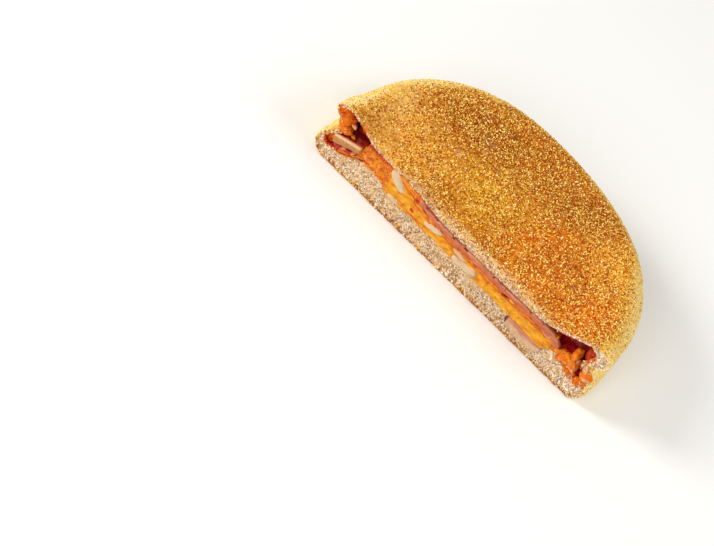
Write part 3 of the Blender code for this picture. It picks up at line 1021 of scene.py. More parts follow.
@dataclass
class Bread:
    """The dough: crust, pocket and the torn crumb of the cut."""

    form: DoughForm = field(default_factory=DoughForm)
    browning: Browning = field(default_factory=Browning)
    steps: Steps = Steps(over=62, shoulder=10, wall=26, base_bend=7, under=14)
    columns: int = 230
    face_steps: Steps = Steps(over=330, shoulder=16, wall=110, base_bend=20, under=340)
    across: int = 30
    crust_width: float = 0.3 * MM
    recess: float = 0.8 * MM
    right_lip_width: float = 2.4 * MM  # how much wider the dough is above the fold of its right end
    right_lip_reach: float = 6 * MM
    upper_from: float = 9 * MM  # the height from which dough belongs to the upper crust
    crack_x: float = 43.3 * MM
    crack_sway: float = 0.3 * MM
    crack_width: float = 0.85 * MM
    crack_low: float = 5.0 * MM
    crack_high: float = 11 * MM

    def crust(self, angle: float, steps: Steps) -> Array:
        """One profile of the bare crust, uneven as dough is, in from the solid's outside.

        Args:
            angle: the angle round the middle of the cut.
            steps: how finely it is divided.

        Returns:
            Points measured from the middle of the cut.
        """
        form = self.form
        r, z = form.outside(angle, steps)
        place = swung(angle, r, z)
        out_r, out_z = -np.gradient(z), np.gradient(r)
        length = np.maximum(np.hypot(out_r, out_z), 1e-9)
        uneven = 0.09 * MM * lumps(place, 8 * MM, 21, 2) + 0.06 * MM * lumps(place, 2 * MM, 22, 2)
        shift = (uneven - form.skin) * smooth(z / (2 * MM))
        r = np.maximum(r + out_r / length * shift, 0) * (r > 0)
        return swung(angle, r, z + out_z / length * shift)

    def pocket(self, angle: float, steps: Steps) -> Array:
        """One profile of the pocket's skin, smeared and lumpy.

        Args:
            angle: the angle round the middle of the cut.
            steps: how finely it is divided.

        Returns:
            Points measured from the middle of the cut.
        """
        r, z = self.form.inside(angle, steps)
        if angle < math.pi / 2:
            near = math.exp(-((float(self.form.from_cut(angle)) / self.right_lip_reach) ** 2))
            high = smooth((z - self.form.pinch_height) / (3.5 * MM)) * smooth((r - 39 * MM) / (6 * MM))
            r = r - self.right_lip_width * near * high
        place = swung(angle, r, z)
        place[:, 2] += 0.16 * MM * lumps(place, 2.4 * MM, 31, 3)
        return place

    def crust_values(self, place: Array) -> dict[str, Array]:
        """Tint of the bare crust, and how thickly meal lies on it.

        Args:
            place: points measured from the middle of the cut.

        Returns:
            The numbers of each point, by attribute name.
        """
        x, y, z = (place[..., i] for i in range(3))
        form = self.form
        edge = (np.hypot(x, y) - form.radius + 1.2 * MM * lumps(place, 6 * MM, 41, 2)) / MM
        side = smooth((edge + 5.5) / 3) * smooth((z - 0.9 * MM) / (1.2 * MM))
        thick = 0.62 + 0.38 * lumps(place, 5 * MM, 42, 2)
        high = z - self.upper_from
        top = (1 - 0.95 * side) * smooth(high / (3 * MM)) * thick * (0.3 + 0.7 * smooth(y / MM - 0.2))
        pale_streak = bump(x + 0.25 * y, -35 * MM, 10 * MM) * smooth(1.5 - y / (20 * MM))
        top = top * (1 - 0.7 * pale_streak)
        heel = 0.7 * smooth(2.4 - z / MM) * smooth((z - 0.3 * MM) / (0.5 * MM))
        lip = smooth(1.2 - y / (0.9 * MM)) * smooth(high / (2 * MM)) * smooth((x + 24 * MM) / (6 * MM))
        return {
            "tint": self.browning.colours(form, x, y, z),
            "meal_top": np.clip(top, 0, 1),
            "lip": lip,
            "meal_side": np.clip(np.maximum(side * thick, heel), 0, 1),
        }

    def stain(self, x: Array, z: Array, inner: Array) -> Array:
        """How much sauce the crumb of the cut has soaked up.

        Args:
            x: places along the cut.
            z: heights.
            inner: distances to the pocket.

        Returns:
            0 where it is clean, 1 where it is red.
        """
        left, right = smooth((-36 * MM - x) / (4 * MM)), smooth((x - 34.5 * MM) / (2.5 * MM))
        low_left = 0.85 * left * smooth(1.15 - inner / (0.9 * MM)) * smooth((12 * MM - z) / MM)
        high_left = 0.58 * left * smooth((z - 10.0 * MM) / (1.2 * MM)) * smooth((18.6 * MM - z) / MM)
        low_right = 0.52 * right * smooth(1.3 - inner / (3.2 * MM)) * smooth((12 * MM - z) / (2 * MM))
        leak = 0.5 * bump(x, 46.9 * MM, 2.6 * MM) * bump(z, 7.0 * MM, 3.8 * MM)
        wall = 0.4 * right * smooth((z - 12 * MM) / (1.5 * MM)) * smooth((17.6 * MM - z) / MM)
        wall = wall * smooth(1.25 - inner / (1.5 * MM))
        fading = smooth((z - 6.4 * MM) / (3.2 * MM)) * smooth((12.5 * MM - z) / MM)
        hump = 0.56 * bump(x, -30.0 * MM, 8.5 * MM) * fading
        below = smooth((np.abs(x) - 31 * MM) / (3 * MM)) + smooth((10.5 * MM - z) / (0.5 * MM))
        line = 0.45 * smooth(1.1 - inner / (0.45 * MM)) * np.minimum(below, 1)
        spread = np.maximum.reduce([low_left, high_left, low_right, leak, wall, hump, line])
        return np.clip(np.maximum(spread, self.crevice(x, z)), 0, 1)

    def crevice(self, x: Array, z: Array) -> Array:
        """1 in the crack that runs down from the pocket's right corner into the crumb, 0 beside it."""
        middle = self.crack_x + self.crack_sway * np.sin(z / (1.1 * MM))
        within = smooth((z - self.crack_low) / (0.8 * MM)) * smooth((self.crack_high - z) / MM)
        return bump(x, middle, self.crack_width) * within

    def soaked(self, place: Array) -> Array:
        """How much sauce is on the pocket's skin: orange at its lips, red further in.

        Args:
            place: points measured from the middle of the cut.

        Returns:
            0 where it is clean, 1 where it is red.
        """
        x, y = place[..., 0], place[..., 1]
        deep = 0.62 + 0.4 * smooth((y - 0.4 * MM) / (1.6 * MM)) + 0.15 * lumps(place, 2.5 * MM, 51, 2)
        lips = smooth((np.abs(x) - 33 * MM) / (4 * MM))
        return np.clip(0.35 * (1 - lips) + deep * (0.25 + 0.75 * lips), 0, 1)

    def core(self, crust: bpy.types.Material, pocket: bpy.types.Material) -> bpy.types.Object:
        """Makes the dough itself, its cut face set back behind a thin rim of crust.

        Args:
            crust: finish of the outside.
            pocket: finish of the pocket's skin.

        Returns:
            The closed piece.
        """
        form, solid = self.form, Solid("bread_crust")
        angles = form.angles(self.columns)
        outer = np.stack([self.crust(angle, self.steps) for angle in angles])
        inner = np.stack([self.pocket(angle, self.steps) for angle in angles])
        tint = self.crust_values(outer)["tint"]
        solid.add_grid(form.framed(outer), 0, tint=tint)
        soaked = self.soaked(inner)
        solid.add_grid(form.framed(inner), 1, stain=soaked, tint=np.full(inner.shape, 0.5))
        for end in (0, -1):
            width = np.linalg.norm(outer[end] - inner[end], axis=-1)
            rim = np.minimum(self.crust_width / width, 0.3)
            shares = np.stack([0 * rim, rim, rim + 0.06, 1 - 0.1 * MM / width, 1 + 0 * rim])
            ring = outer[end] + (inner[end] - outer[end]) * shares[..., None]
            ring[2:4, :, 1] += self.recess
            colour = np.broadcast_to(tint[end], ring.shape)
            stain = np.broadcast_to(soaked[end], ring.shape[:2])
            placed = form.framed(ring)
            solid.add_grid(placed[:2], 0, tint=colour[:2], stain=stain[:2])
            solid.add_grid(placed[1:], 1, tint=colour[1:], stain=stain[1:])
        return declare(solid.make([crust, pocket]), "baked_dough", "bread")

    def face(self, angle: float) -> tuple[Array, dict[str, Array]]:
        """The torn crumb at one end of the cut.

        Args:
            angle: 0 for the right end, half a turn for the left.

        Returns:
            Points from crust to pocket along the profile, and their numbers.
        """
        form = self.form
        outer, inner = self.crust(angle, self.face_steps), self.pocket(angle, self.face_steps)
        outer[:, 1] = inner[:, 1] = 0
        width = np.linalg.norm(outer - inner, axis=-1)
        upper = outer[:, 2] > self.upper_from
        start = np.minimum(np.where(upper, 0.5, 1) * self.crust_width / width, 0.3)
        shares = np.linspace(0, 1, self.across + 1)[:, None]
        shares = start + (1 + 0.12 * MM / width - start) * shares
        face = outer + (inner - outer) * shares[..., None]
        from_crust, from_pocket = (shares - start) * width, (1 - shares) * width
        torn = 0.26 * MM * lumps(face, 1.4 * MM, 61, 2) + 0.3 * MM * lumps(face, 0.42 * MM, 62, 2)
        right = smooth((face[..., 0] - 30 * MM) / (6 * MM))
        ragged = 0.3 * MM * lumps(face * np.array([1, 1, 0.3]), 0.8 * MM, 63, 2) * right
        hole = pores(face * np.array([0.8, 1, 1.1]), 1.0 * MM, 64)
        crack = self.crevice(face[..., 0], face[..., 2])
        inward = torn + ragged + 0.34 * MM * hole - 0.05 * MM + 0.6 * MM * crack
        edge = smooth(from_crust / (0.4 * MM)) * smooth((from_pocket + 0.12 * MM) / (0.35 * MM))
        heel = smooth(1.3 - from_crust / (0.9 * MM)) * (0.35 + 0.5 * lumps(face, 1.8 * MM, 66, 2)) * ~upper
        face[..., 1] = np.clip(inward, -0.45 * MM, 0.68 * MM) * edge - 0.5 * MM * np.maximum(heel, 0)
        stain = self.stain(face[..., 0], face[..., 2], from_pocket)
        clean = 1 - 0.8 * smooth(stain / 0.3)
        clump = smooth(0.5 + 1.2 * lumps(face, 2.5 * MM, 65, 2))
        off_crust = smooth(from_crust / np.where(upper, 0.2 * MM, 1.2 * MM))
        tint = self.browning.colours(form, *np.moveaxis(outer, -1, 0))
        values = {
            "tint": np.broadcast_to(tint, face.shape),
            "stain": stain,
            "hole": hole,
            "crusty": 1 - smooth(from_crust / np.where(upper, 0.1 * MM, 0.8 * MM)),
            "flakes": clean * (0.35 + 0.65 * clump) * off_crust,
            "curls": clean * right * smooth(from_crust / (1.5 * MM) - 0.3),
            "soaked": smooth((stain - 0.25) / 0.2) * (1 - crack),
            "grit": smooth(1.25 - from_crust / (0.95 * MM)) * np.where(upper, 0.2, 1.0) + 0 * hole,
        }
        return face, values

    def crumb(self, finish: bpy.types.Material) -> bpy.types.Object:
        """Makes the torn crumb that fills the cut face between crust and pocket.

        Args:
            finish: the crumb's finish.

        Returns:
            The closed piece.
        """
        form, solid = self.form, Solid("bread_crumb")
        for angle in (0.0, math.pi):
            face, values = self.face(angle)
            values = {name: values[name] for name in ("tint", "stain", "hole", "crusty")}
            back = face[[0, -1]]
            back[..., 1] = self.recess - 0.06 * MM
            solid.add_grid(form.framed(face), 0, **values)
            ends = {name: given[[0, -1]] for name, given in values.items()}
            solid.add_grid(form.framed(back), 0, **ends)
            for row in (0, -1):
                side = np.stack([face[row], back[row]])
                twice = {name: np.stack([given[row]] * 2) for name, given in values.items()}
                solid.add_grid(form.framed(side), 0, **twice)
        return declare(solid.make([finish]), "baked_dough")

    def beds(self, blank: bpy.types.Material) -> tuple[bpy.types.Object, bpy.types.Object]:
        """Makes the two sheets that meal and crumbs are strewn on, for the time of the strewing.

        Args:
            blank: any material.

        Returns:
            The sheet of bare crust and the sheet of torn crumb.
        """
        form, crust, torn = self.form, Solid("crust_bed"), Solid("crumb_bed")
        outer = np.stack([self.crust(angle, self.steps) for angle in form.angles(self.columns)])
        crust.add_grid(form.framed(outer), 0, **self.crust_values(outer))
        for angle in (0.0, math.pi):
            face, values = self.face(angle)
            torn.add_grid(form.framed(face), 0, **values)
        return crust.make([blank]), torn.make([blank])


# ---- the meal ----


FULL_TURN = (6.283, 6.283, 6.283)


class GrainShape(Enum):
    """Least and greatest share of a grain's size along its own three axes."""

    BROKEN = ((0.8, 0.65, 0.6), (1.3, 1.0, 0.9))
    DUST = ((0.7, 0.6, 0.6), (1.1, 0.9, 0.8))
    FLAKE = ((0.9, 0.3, 0.3), (2.0, 0.8, 0.5))


@dataclass(frozen=True)
class Meal:
    """One kind of grain, strewn over a surface."""

    name: str
    bed: str  # the surface's own number that says how thickly it lies
    per_square_metre: float
    small: float
    large: float
    spacing: float
    seed: int
    shape: GrainShape
    finish: MealFinish
    variants: int = 4
    jolt: float = 0.16  # how far a grain's corners are moved, for a grain 1 across

    def tree(self) -> tuple[bpy.types.NodeTree, dict[str, str]]:
        """Builds the strewing as a node tree.

        Returns:
            The tree, and the identifier of each named input.
        """
        tree = bpy.data.node_groups.new(f"strew_{self.name}", "GeometryNodeTree")
        numbers = dict.fromkeys(("Grains per area", "Spacing", "Small", "Large"), "Float")
        kinds = {"Bed": "Geometry", **numbers, "Seed": "Int", "Finish": "Material"}
        ids = {}
        for name, kind in kinds.items():
            socket = tree.interface.new_socket(name, in_out="INPUT", socket_type=f"NodeSocket{kind}")
            ids[name] = socket.identifier
        tree.interface.new_socket("Grains", in_out="OUTPUT", socket_type="NodeSocketGeometry")
        given = add_node(tree, "NodeGroupInput", {}).outputs
        bed = add_node(tree, "GeometryNodeInputNamedAttribute", {"Name": self.bed}, data_type="FLOAT")
        strewn = add_node(
            tree,
            "GeometryNodeDistributePointsOnFaces",
            {
                "Mesh": given["Bed"],
                "Distance Min": given["Spacing"],
                "Density Max": given["Grains per area"],
                "Density Factor": bed.outputs[0],
                "Seed": given["Seed"],
            },
            distribute_method="POISSON",
        )
        shards = add_node(tree, "GeometryNodeJoinGeometry", {})
        for variant in range(self.variants):
            if self.shape is not GrainShape.DUST:
                shard = add_node(tree, "GeometryNodeMeshIcoSphere", {"Radius": 0.5, "Subdivisions": 1})
            else:
                shard = add_node(tree, "GeometryNodeMeshCube", {"Size": (0.75, 0.75, 0.75)})
            broken = random_value(tree, (-self.jolt,) * 3, (self.jolt,) * 3, variant, vector=True)
            links = {"Geometry": shard.outputs["Mesh"], "Offset": broken}
            moved = add_node(tree, "GeometryNodeSetPosition", links)
            single = add_node(tree, "GeometryNodeGeometryToInstance", {"Geometry": moved.outputs[0]})
            tree.links.new(single.outputs[0], shards.inputs[0])
        turn = random_value(tree, (0, 0, 0), FULL_TURN, 5, vector=True)
        form = random_value(tree, *self.shape.value, 6, vector=True)
        size = random_value(tree, given["Small"], given["Large"], 7)
        scale = add_node(tree, "ShaderNodeVectorMath", {0: form, "Scale": size}, operation="SCALE")
        placed = add_node(
            tree,
            "GeometryNodeInstanceOnPoints",
            {
                "Points": strewn.outputs["Points"],
                "Instance": shards.outputs[0],
                "Pick Instance": True,
                "Rotation": turn,
                "Scale": scale.outputs[0],
            },
        )
        grain = random_value(tree, 0.0, 1.0, 8)
        marked = add_node(
            tree,
            "GeometryNodeStoreNamedAttribute",
            {"Geometry": placed.outputs[0], "Name": "grain", "Value": grain},
            data_type="FLOAT",
            domain="INSTANCE",
        )
        real = add_node(tree, "GeometryNodeRealizeInstances", {"Geometry": marked.outputs[0]})
        links = {"Geometry": real.outputs[0], "Material": given["Finish"]}
        dressed = add_node(tree, "GeometryNodeSetMaterial", links)
        add_node(tree, "NodeGroupOutput", {0: dressed.outputs[0]})
        return tree, ids

    def strew(self, bed: bpy.types.Object, slot: str = "baked_dough") -> bpy.types.Object:
        """Strews the grains on a bed and makes them one plain mesh.

        Args:
            bed: the surface, with its numbers.
            slot: the record's material slot.

        Returns:
            The piece.
        """
        tree, ids = self.tree()
        modifier = bed.modifiers.new(self.name, "NODES")
        modifier.node_group = tree
        finish = self.finish.material(self.name)
        values = {
            "Grains per area": self.per_square_metre,
            "Spacing": self.spacing,
            "Small": self.small,
            "Large": self.large,
            "Seed": self.seed,
            "Finish": finish,
        }
        for name, value in values.items():
            modifier[ids[name]] = value
        graph = bpy.context.evaluated_depsgraph_get()
        grown = bed.evaluated_get(graph)
        mesh = bpy.data.meshes.new_from_object(grown, preserve_all_data_layers=True, depsgraph=graph)
        mesh.name = self.name
        bed.modifiers.remove(modifier)
        places = np.empty(len(mesh.vertices) * 3)
        mesh.vertices.foreach_get("co", places)
        mesh.vertices.foreach_set("co", inside_box(places.reshape(-1, 3)).ravel())
        if not mesh.materials:
            mesh.materials.append(finish)
        return declare(scene_object(self.name, mesh), slot)


# ---- the filling ----


@dataclass(frozen=True)
class Rows:
    """How many points a layer's loop has on its front, over it and round its back."""

    front: int = 22
    over: int = 16
    back: int = 4


Surface = Callable[[Array, Array], Array]


@dataclass
class Filling:
    """What lies in the pocket, layer by layer, closing the small gaps that rigid solids need."""

    form: DoughForm = field(default_factory=DoughForm)
    gap: float = 0.35 * MM
    cheese_x: float = 3.2 * MM
    cheese_radius: float = 29.8 * MM
    cheese_proud: float = 0.5 * MM
    ham_x: float = 8.6 * MM
    ham_radius: float = 24.4 * MM
    ham_thickness: float = 1.2 * MM
    ham_proud: float = 0.8 * MM
    sauce_film: float = 0.7 * MM
    sauce_gap: float = 0.75 * MM
    hollow_depth: float = 5 * MM
    hollow_left: float = -35.2 * MM
    hollow_right: float = 33.1 * MM
    hollow_film: float = 1.0 * MM
    fold_x: float = 26 * MM
    fold_width: float = 12.4 * MM
    fold_length: float = 16 * MM
    fold_height: float = 4.9 * MM
    fold_dip: float = 0.9 * MM
    fold_thickness: float = 3.2 * MM
    pit_x: float = 16.3 * MM
    pit_z: float = 10.4 * MM
    pit_half_width: float = 0.9 * MM
    pit_half_height: float = 0.65 * MM
    sauce_half_width: float = 41.4 * MM

    def pit(self, x: Array, z: Array) -> Array:
        """1 in the small hole that opens between cheese and ham, 0 beside it."""
        along, up = (x - self.pit_x) / self.pit_half_width, (z - self.pit_z) / self.pit_half_height
        return smooth(1.3 - np.hypot(along, up))

    def ham_low(self, x: Array, y: Array) -> Array:
        """Underside of the upper ham."""
        wave = 0.15 * MM * np.sin(x / (3.1 * MM)) * np.sin(y / (5 * MM) + 1)
        return self.form.roof(x, y) - self.gap - self.ham_thickness - 0.15 * MM + wave

    def cheese_high(self, x: Array, y: Array) -> Array:
        """Upper side of the cheese, under sauce and ham, and up to the roof left of the ham.

        Args:
            x: places along the cut.
            y: distances behind the cut.

        Returns:
            Heights.
        """
        roof = self.form.roof(x, y)
        share = smooth((self.ham_x - self.ham_radius - 0.6 * MM - x) / (2 * MM))
        below_ham = roof - self.ham_thickness - self.sauce_film - 3.2 * self.gap
        return below_ham * (1 - share) + (roof - self.sauce_film - 2 * self.gap) * share

    def cheese_low(self, x: Array, y: Array) -> Array:
        """Underside of the cheese, pressed into the crumb, its front edge wavy where it has run.

        Args:
            x: places along the cut.
            y: distances behind the cut.

        Returns:
            Heights.
        """
        place = np.stack([x + 0 * y, 0 * (x + y), 0 * (x + y)], axis=-1)
        run = 0.3 + 0.35 * lumps(place, 2.8 * MM, 76, 2) + 0.45 * bump(x, -20.5 * MM, 5 * MM)
        run = run - 0.9 * bump(x, 25.5 * MM, 6.5 * MM)
        return self.form.ground(x, y) - 0.12 * MM - run * MM * (1 - smooth(y / (3 * MM)))

    def loops(
        self,
        x: Array,
        depth: Array,
        low: Surface,
        high: Surface,
        proud: float,
        relief: Surface,
        rows: Rows = Rows(),
        round_edge: float = 0.35 * MM,
        taper: float = 0.0,
    ) -> tuple[Array, Array]:
        """Loops of a layer, one for each place along the cut.

        Args:
            x: places along the cut.
            depth: how far back the layer runs at each place.
            low: its underside.
            high: its upper side.
            proud: how far it stands out of the cut.
            relief: how much further it stands out at (x, z).
            rows: how finely a loop is divided.
            round_edge: radius of the front's two edges.
            taper: length over which both ends of the layer thin out.

        Returns:
            The loops, and how far up its front each point is, from 0 to 1.
        """
        x = x[:, None]
        thin = 1 + 0 * x
        if taper:
            from_end = np.clip(np.minimum(x - x[0], x[-1] - x) / taper, 0, 1)
            thin = np.sqrt(np.clip(1 - (1 - from_end) ** 2, 0.02, 1))
        whole_low, whole_high = low, high

        def low(x: Array, y: Array) -> Array:
            """Underside of the layer with its ends thinned out."""
            return whole_low(x, y) * (1 + thin) / 2 + whole_high(x, y) * (1 - thin) / 2

        def high(x: Array, y: Array) -> Array:
            """Upper side of the layer with its ends thinned out."""
            return whole_high(x, y) * (1 + thin) / 2 + whole_low(x, y) * (1 - thin) / 2

        t = np.linspace(0, 1, rows.front)[None, :]
        bottom, top = low(x, 0 * x), high(x, 0 * x)
        front_z = bottom + (top - bottom) * t
        edge = np.minimum(round_edge, (top - bottom) / 2)
        near = np.clip(1 - np.minimum(front_z - bottom, top - front_z) / edge, 0, 1)
        front_y = -proud + edge * (1 - np.sqrt(1 - near * near))
        front_y = front_y - relief(x + 0 * front_z, front_z) * (1 - 0.7 * near)
        back_share = (np.arange(1, rows.over + 1) / (rows.over + 1)) ** 1.6
        end = depth[:, None]
        upper_y = front_y[:, -1:] + (end - front_y[:, -1:]) * back_share
        lower_y = front_y[:, :1] + (end - front_y[:, :1]) * back_share[::-1]
        half_top, half_low = high(x, end), low(x, end)
        turn = np.linspace(0, math.pi, rows.back + 2)[None, 1:-1]
        middle, reach = (half_top + half_low) / 2, (half_top - half_low) / 2
        back_y = end - np.minimum(reach, end / 3) * (1 - np.sin(turn))
        back_z = middle + reach * np.cos(turn)
        y = np.concatenate([front_y, upper_y, back_y, lower_y], axis=1)
        over = high(x, np.maximum(upper_y, 0)) + 0 * upper_y
        under = low(x, np.maximum(lower_y, 0)) + 0 * lower_y
        z = np.concatenate([front_z, over, back_z, under], axis=1)
        rest = y.shape[1] - rows.front
        up = np.concatenate([t + 0 * x, np.full((len(x), rest), 0.5)], axis=1)
        return self.form.placed(x + 0 * y, y, z), up

    def round_depth(self, x: Array, centre: float, radius: float) -> Array:
        """How far back a round layer runs at each place along the cut."""
        return np.sqrt(np.maximum(radius**2 - (x - centre) ** 2, (0.6 * MM) ** 2))

    def cheese_relief(self, x: Array, z: Array) -> Array:
        """Relief of the cheese's front: drawn along the cut, with knobs where it has oozed.

        Args:
            x: places along the cut.
            z: heights.

        Returns:
            How much further it stands out.
        """
        place = np.stack([x, z, 0 * x], axis=-1)
        drawn = lumps(place * np.array([0.4, 1, 1]), 0.9 * MM, 74, 2)
        knobs = smooth(1.6 * lumps(place, 1.3 * MM, 75) - 0.25)
        uneven = 0.2 * MM * lumps(place, 2.6 * MM, 71, 2) + 0.18 * MM * drawn + 0.3 * MM * knobs
        return uneven - 1.6 * MM * self.pit(x, z)

    def cheese(self, finish: bpy.types.Material) -> bpy.types.Object:
        """Makes the melted cheese, lumpy where it has oozed and drawn through with sauce.

        Args:
            finish: the cheese's finish.

        Returns:
            The piece.
        """
        reach = self.cheese_radius + 0.55 * MM
        x = np.linspace(self.cheese_x - reach, self.cheese_x + reach, 300)

        def full(x: Array, y: Array) -> Array:
            """The share of its thickness that the layer has there."""
            out = np.hypot(x - self.cheese_x, y) / self.cheese_radius
            return 1 - 0.12 * smooth((out - 0.95) / 0.07)

        def middle(x: Array, y: Array) -> Array:
            """Height halfway up the layer."""
            return (self.cheese_low(x, y) + self.cheese_high(x, y)) / 2

        loops, up = self.loops(
            x,
            self.round_depth(x, self.cheese_x, reach),
            lambda x, y: middle(x, y) + (self.cheese_low(x, y) - middle(x, y)) * full(x, y),
            lambda x, y: middle(x, y) + (self.cheese_high(x, y) + 0.1 * MM - middle(x, y)) * full(x, y),
            self.cheese_proud,
            self.cheese_relief,
            Rows(front=30),
            0.5 * MM,
        )
        x, z = loops[..., 0], loops[..., 2]
        edge = 0.6 * smooth((up - 0.82) / 0.16) + 0.45 * smooth((0.12 - up) / 0.12)
        left = smooth((-23.5 * MM - x) / (3.5 * MM))
        streak_and_hole_shade = 0.8 * bump(x, -15 * MM, 5.5 * MM) * bump(z, 7.5 * MM, 0.9 * MM)
        # Painted shade: a dark red spot where a hole shows, with no hole in the cheese there.
        streak_and_hole_shade = streak_and_hole_shade + 1.6 * bump(x, -16.4 * MM, 1.2 * MM) * bump(z, 9.0 * MM, 0.9 * MM)
        # The pit is also painted dark red, as painted shade in the hole.
        stain = np.maximum.reduce([edge, 0.7 * left, streak_and_hole_shade, 1.5 * self.pit(x, z)])
        stain = stain + 0.2 * lumps(loops, 2.2 * MM, 73, 2)
        ends = smooth((np.abs(x - self.cheese_x) - 27.6 * MM) / MM)
        stain = stain + 1.2 * ends * smooth((loops[..., 1] + self.form.half_depth - 0.3 * MM) / (0.8 * MM))
        solid = Solid("cheese_melted")
        solid.add_loops(loops, stain=np.clip(stain, 0, 1.6))
        return declare(solid.make([finish]), "melted_cheese", "cheese")

    def ham_relief(self, x: Array, z: Array) -> Array:
        """How much further the torn fibres of ham stand out there."""
        place = np.stack([x * 0.35, z, 0 * x], axis=-1)
        return 0.28 * MM * lumps(place, 0.8 * MM, 81, 2) + 0.16 * MM * lumps(place, 3 * MM, 82)

    def ham_upper(self, finish: bpy.types.Material) -> bpy.types.Object:
        """Makes the slice of ham under the roof.

        Args:
            finish: its finish.

        Returns:
            The piece.
        """
        left, right = self.ham_x - self.ham_radius, self.ham_x + self.ham_radius
        x = np.linspace(left - 0.3 * MM, right - 1.5 * MM, 260)

        def ragged(x: Array, seed: int) -> Array:
            """How far an edge of the slice is off its line there."""
            return 0.3 * MM * lumps(np.stack([x, 0 * x, 0 * x], axis=-1), 1.7 * MM, seed, 3)

        loops, up = self.loops(
            x,
            self.round_depth(x, self.ham_x, self.ham_radius),
            lambda x, y: self.ham_low(x, y) - 0.1 * MM + ragged(x, 87),
            lambda x, y: self.ham_low(x, y) + self.ham_thickness + 0.25 * MM + ragged(x, 88),
            self.ham_proud - 0.15 * MM,
            self.ham_relief,
            Rows(front=18),
            0.3 * MM,
            2 * MM,
        )
        flecks = 1.4 * smooth(3 * lumps(loops, 1.1 * MM, 86, 2) - 0.2) * smooth((up - 0.6) / 0.25)
        stain = 0.9 * smooth((0.3 - up) / 0.3) + 0.15 * lumps(loops, 2 * MM, 83, 2)
        marbling = 0.9 * lumps(loops * np.array([0.3, 1, 1.3]), 0.8 * MM, 85, 2)
        slice_ = Solid("ham_slice")
        fat = np.clip(0.4 * smooth((up - 0.7) / 0.25) + marbling, 0, 1)
        slice_.add_loops(loops, stain=np.clip(np.maximum(stain, flecks), 0, 1.4), fat=fat)
        return declare(slice_.make([finish]), "cooked_ham", "ham_upper")

    def ham_fold(self, finish: bpy.types.Material, crumbs: Meal) -> bpy.types.Object:
        """Makes the folded end of the lower slice of ham.

        Args:
            finish: its finish, paler than the slice's.
            crumbs: what sticks to it where it lies on the torn crumb.

        Returns:
            The piece.
        """
        u = np.linspace(-0.5, 0.5, 90)
        at = self.fold_x + u * self.fold_width

        def middle(x: Array) -> Array:
            """Height halfway up the fold."""
            return self.fold_height - self.fold_dip * np.cos(math.pi * (x - self.fold_x) / self.fold_width)

        def half(x: Array) -> Array:
            """Half the fold's thickness."""
            share = np.clip(np.abs(2 * (x - self.fold_x) / self.fold_width), 0, 1)
            return self.fold_thickness / 2 * (1 - 0.45 * share**4)

        loops, up = self.loops(
            at,
            np.full_like(at, self.fold_length),
            lambda x, y: middle(x) - half(x) - 0.2 * MM,
            lambda x, y: middle(x) + half(x) + 0.6 * MM,
            self.ham_proud - 0.4 * MM,
            self.ham_relief,
            Rows(front=26),
            0.35 * MM,
            1.2 * MM,
        )
        fold = Solid("ham_folded_end")
        pale = 1.2 * smooth((0.85 - up) / 0.5) + 0.2 * lumps(loops, 2 * MM, 84, 2)
        start = smooth((21.0 * MM - loops[..., 0]) / (0.6 * MM))
        front = loops[..., 1] + self.form.half_depth < 0.3 * MM
        crumbed = smooth((0.52 - up) / 0.4) * front
        stain = np.maximum(1.4 * start, 0.5 * smooth((up - 0.88) / 0.1))
        fold.add_loops(loops, fat=np.clip(pale, 0, 1), stain=stain, crumbed=crumbed)
        piece = fold.make([finish])
        crumbs.strew(piece, "cooked_ham")
        return declare(piece, "cooked_ham", "ham_fold")

    def sauce_relief(self, x: Array, z: Array) -> Array:
        """Relief of the sauce's front: set back and uneven at its seats beside the cheese.

        Args:
            x: places along the cut.
            z: heights.

        Returns:
            How much further it stands out.
        """
        place = np.stack([x, z, 0 * x], axis=-1)
        seat = smooth((-26 * MM - x) / (2 * MM)) + smooth((x - 32 * MM) / (2 * MM))
        fine = lumps(place * np.array([0.6, 1, 1]), 0.7 * MM, 95, 2)
        coarse = (0.2 + 0.25 * seat) * MM * lumps(place, 1.6 * MM, 92, 3)
        return coarse + 0.36 * MM * fine * seat - 0.25 * MM * seat - 1.3 * MM * self.pit(x, z)

    def sauce(self, finish: bpy.types.Material, crumbs: Meal) -> bpy.types.Object:
        """Makes the sauce: a film under the ham and a ring that has sunk back at both ends of the cut.

        Args:
            finish: the sauce's finish.
            crumbs: what sticks to it where it sits on torn dough.

        Returns:
            The piece.
        """
        form = self.form

        def hollow(x: Array, y: Array) -> Array:
            """1 in the hollow ends of the pocket, 0 elsewhere."""
            left = smooth((self.hollow_left - x) / (1.5 * MM))
            right = smooth((x - self.hollow_right) / (1.5 * MM))
            return np.maximum(left, right) * (1 - smooth((y - self.hollow_depth) / (3 * MM)))

        def ring(x: Array, y: Array) -> Array:
            """1 outside the cheese, 0 over it."""
            return smooth((np.hypot(x - self.cheese_x, y) - self.cheese_radius - 0.5 * MM) / (0.8 * MM))

        def low(x: Array, y: Array) -> Array:
            """Underside of the sauce: on the cheese, and on the floor round it."""
            share = smooth((np.hypot(x - self.cheese_x, y) - self.cheese_radius + 0.8 * MM) / (0.8 * MM))
            floor = form.ground(x, y) - 0.1 * MM - 0.55 * MM * bump(x, -30 * MM, 6 * MM)
            return (self.cheese_high(x, y) - 0.1 * MM) * (1 - share) + floor * share

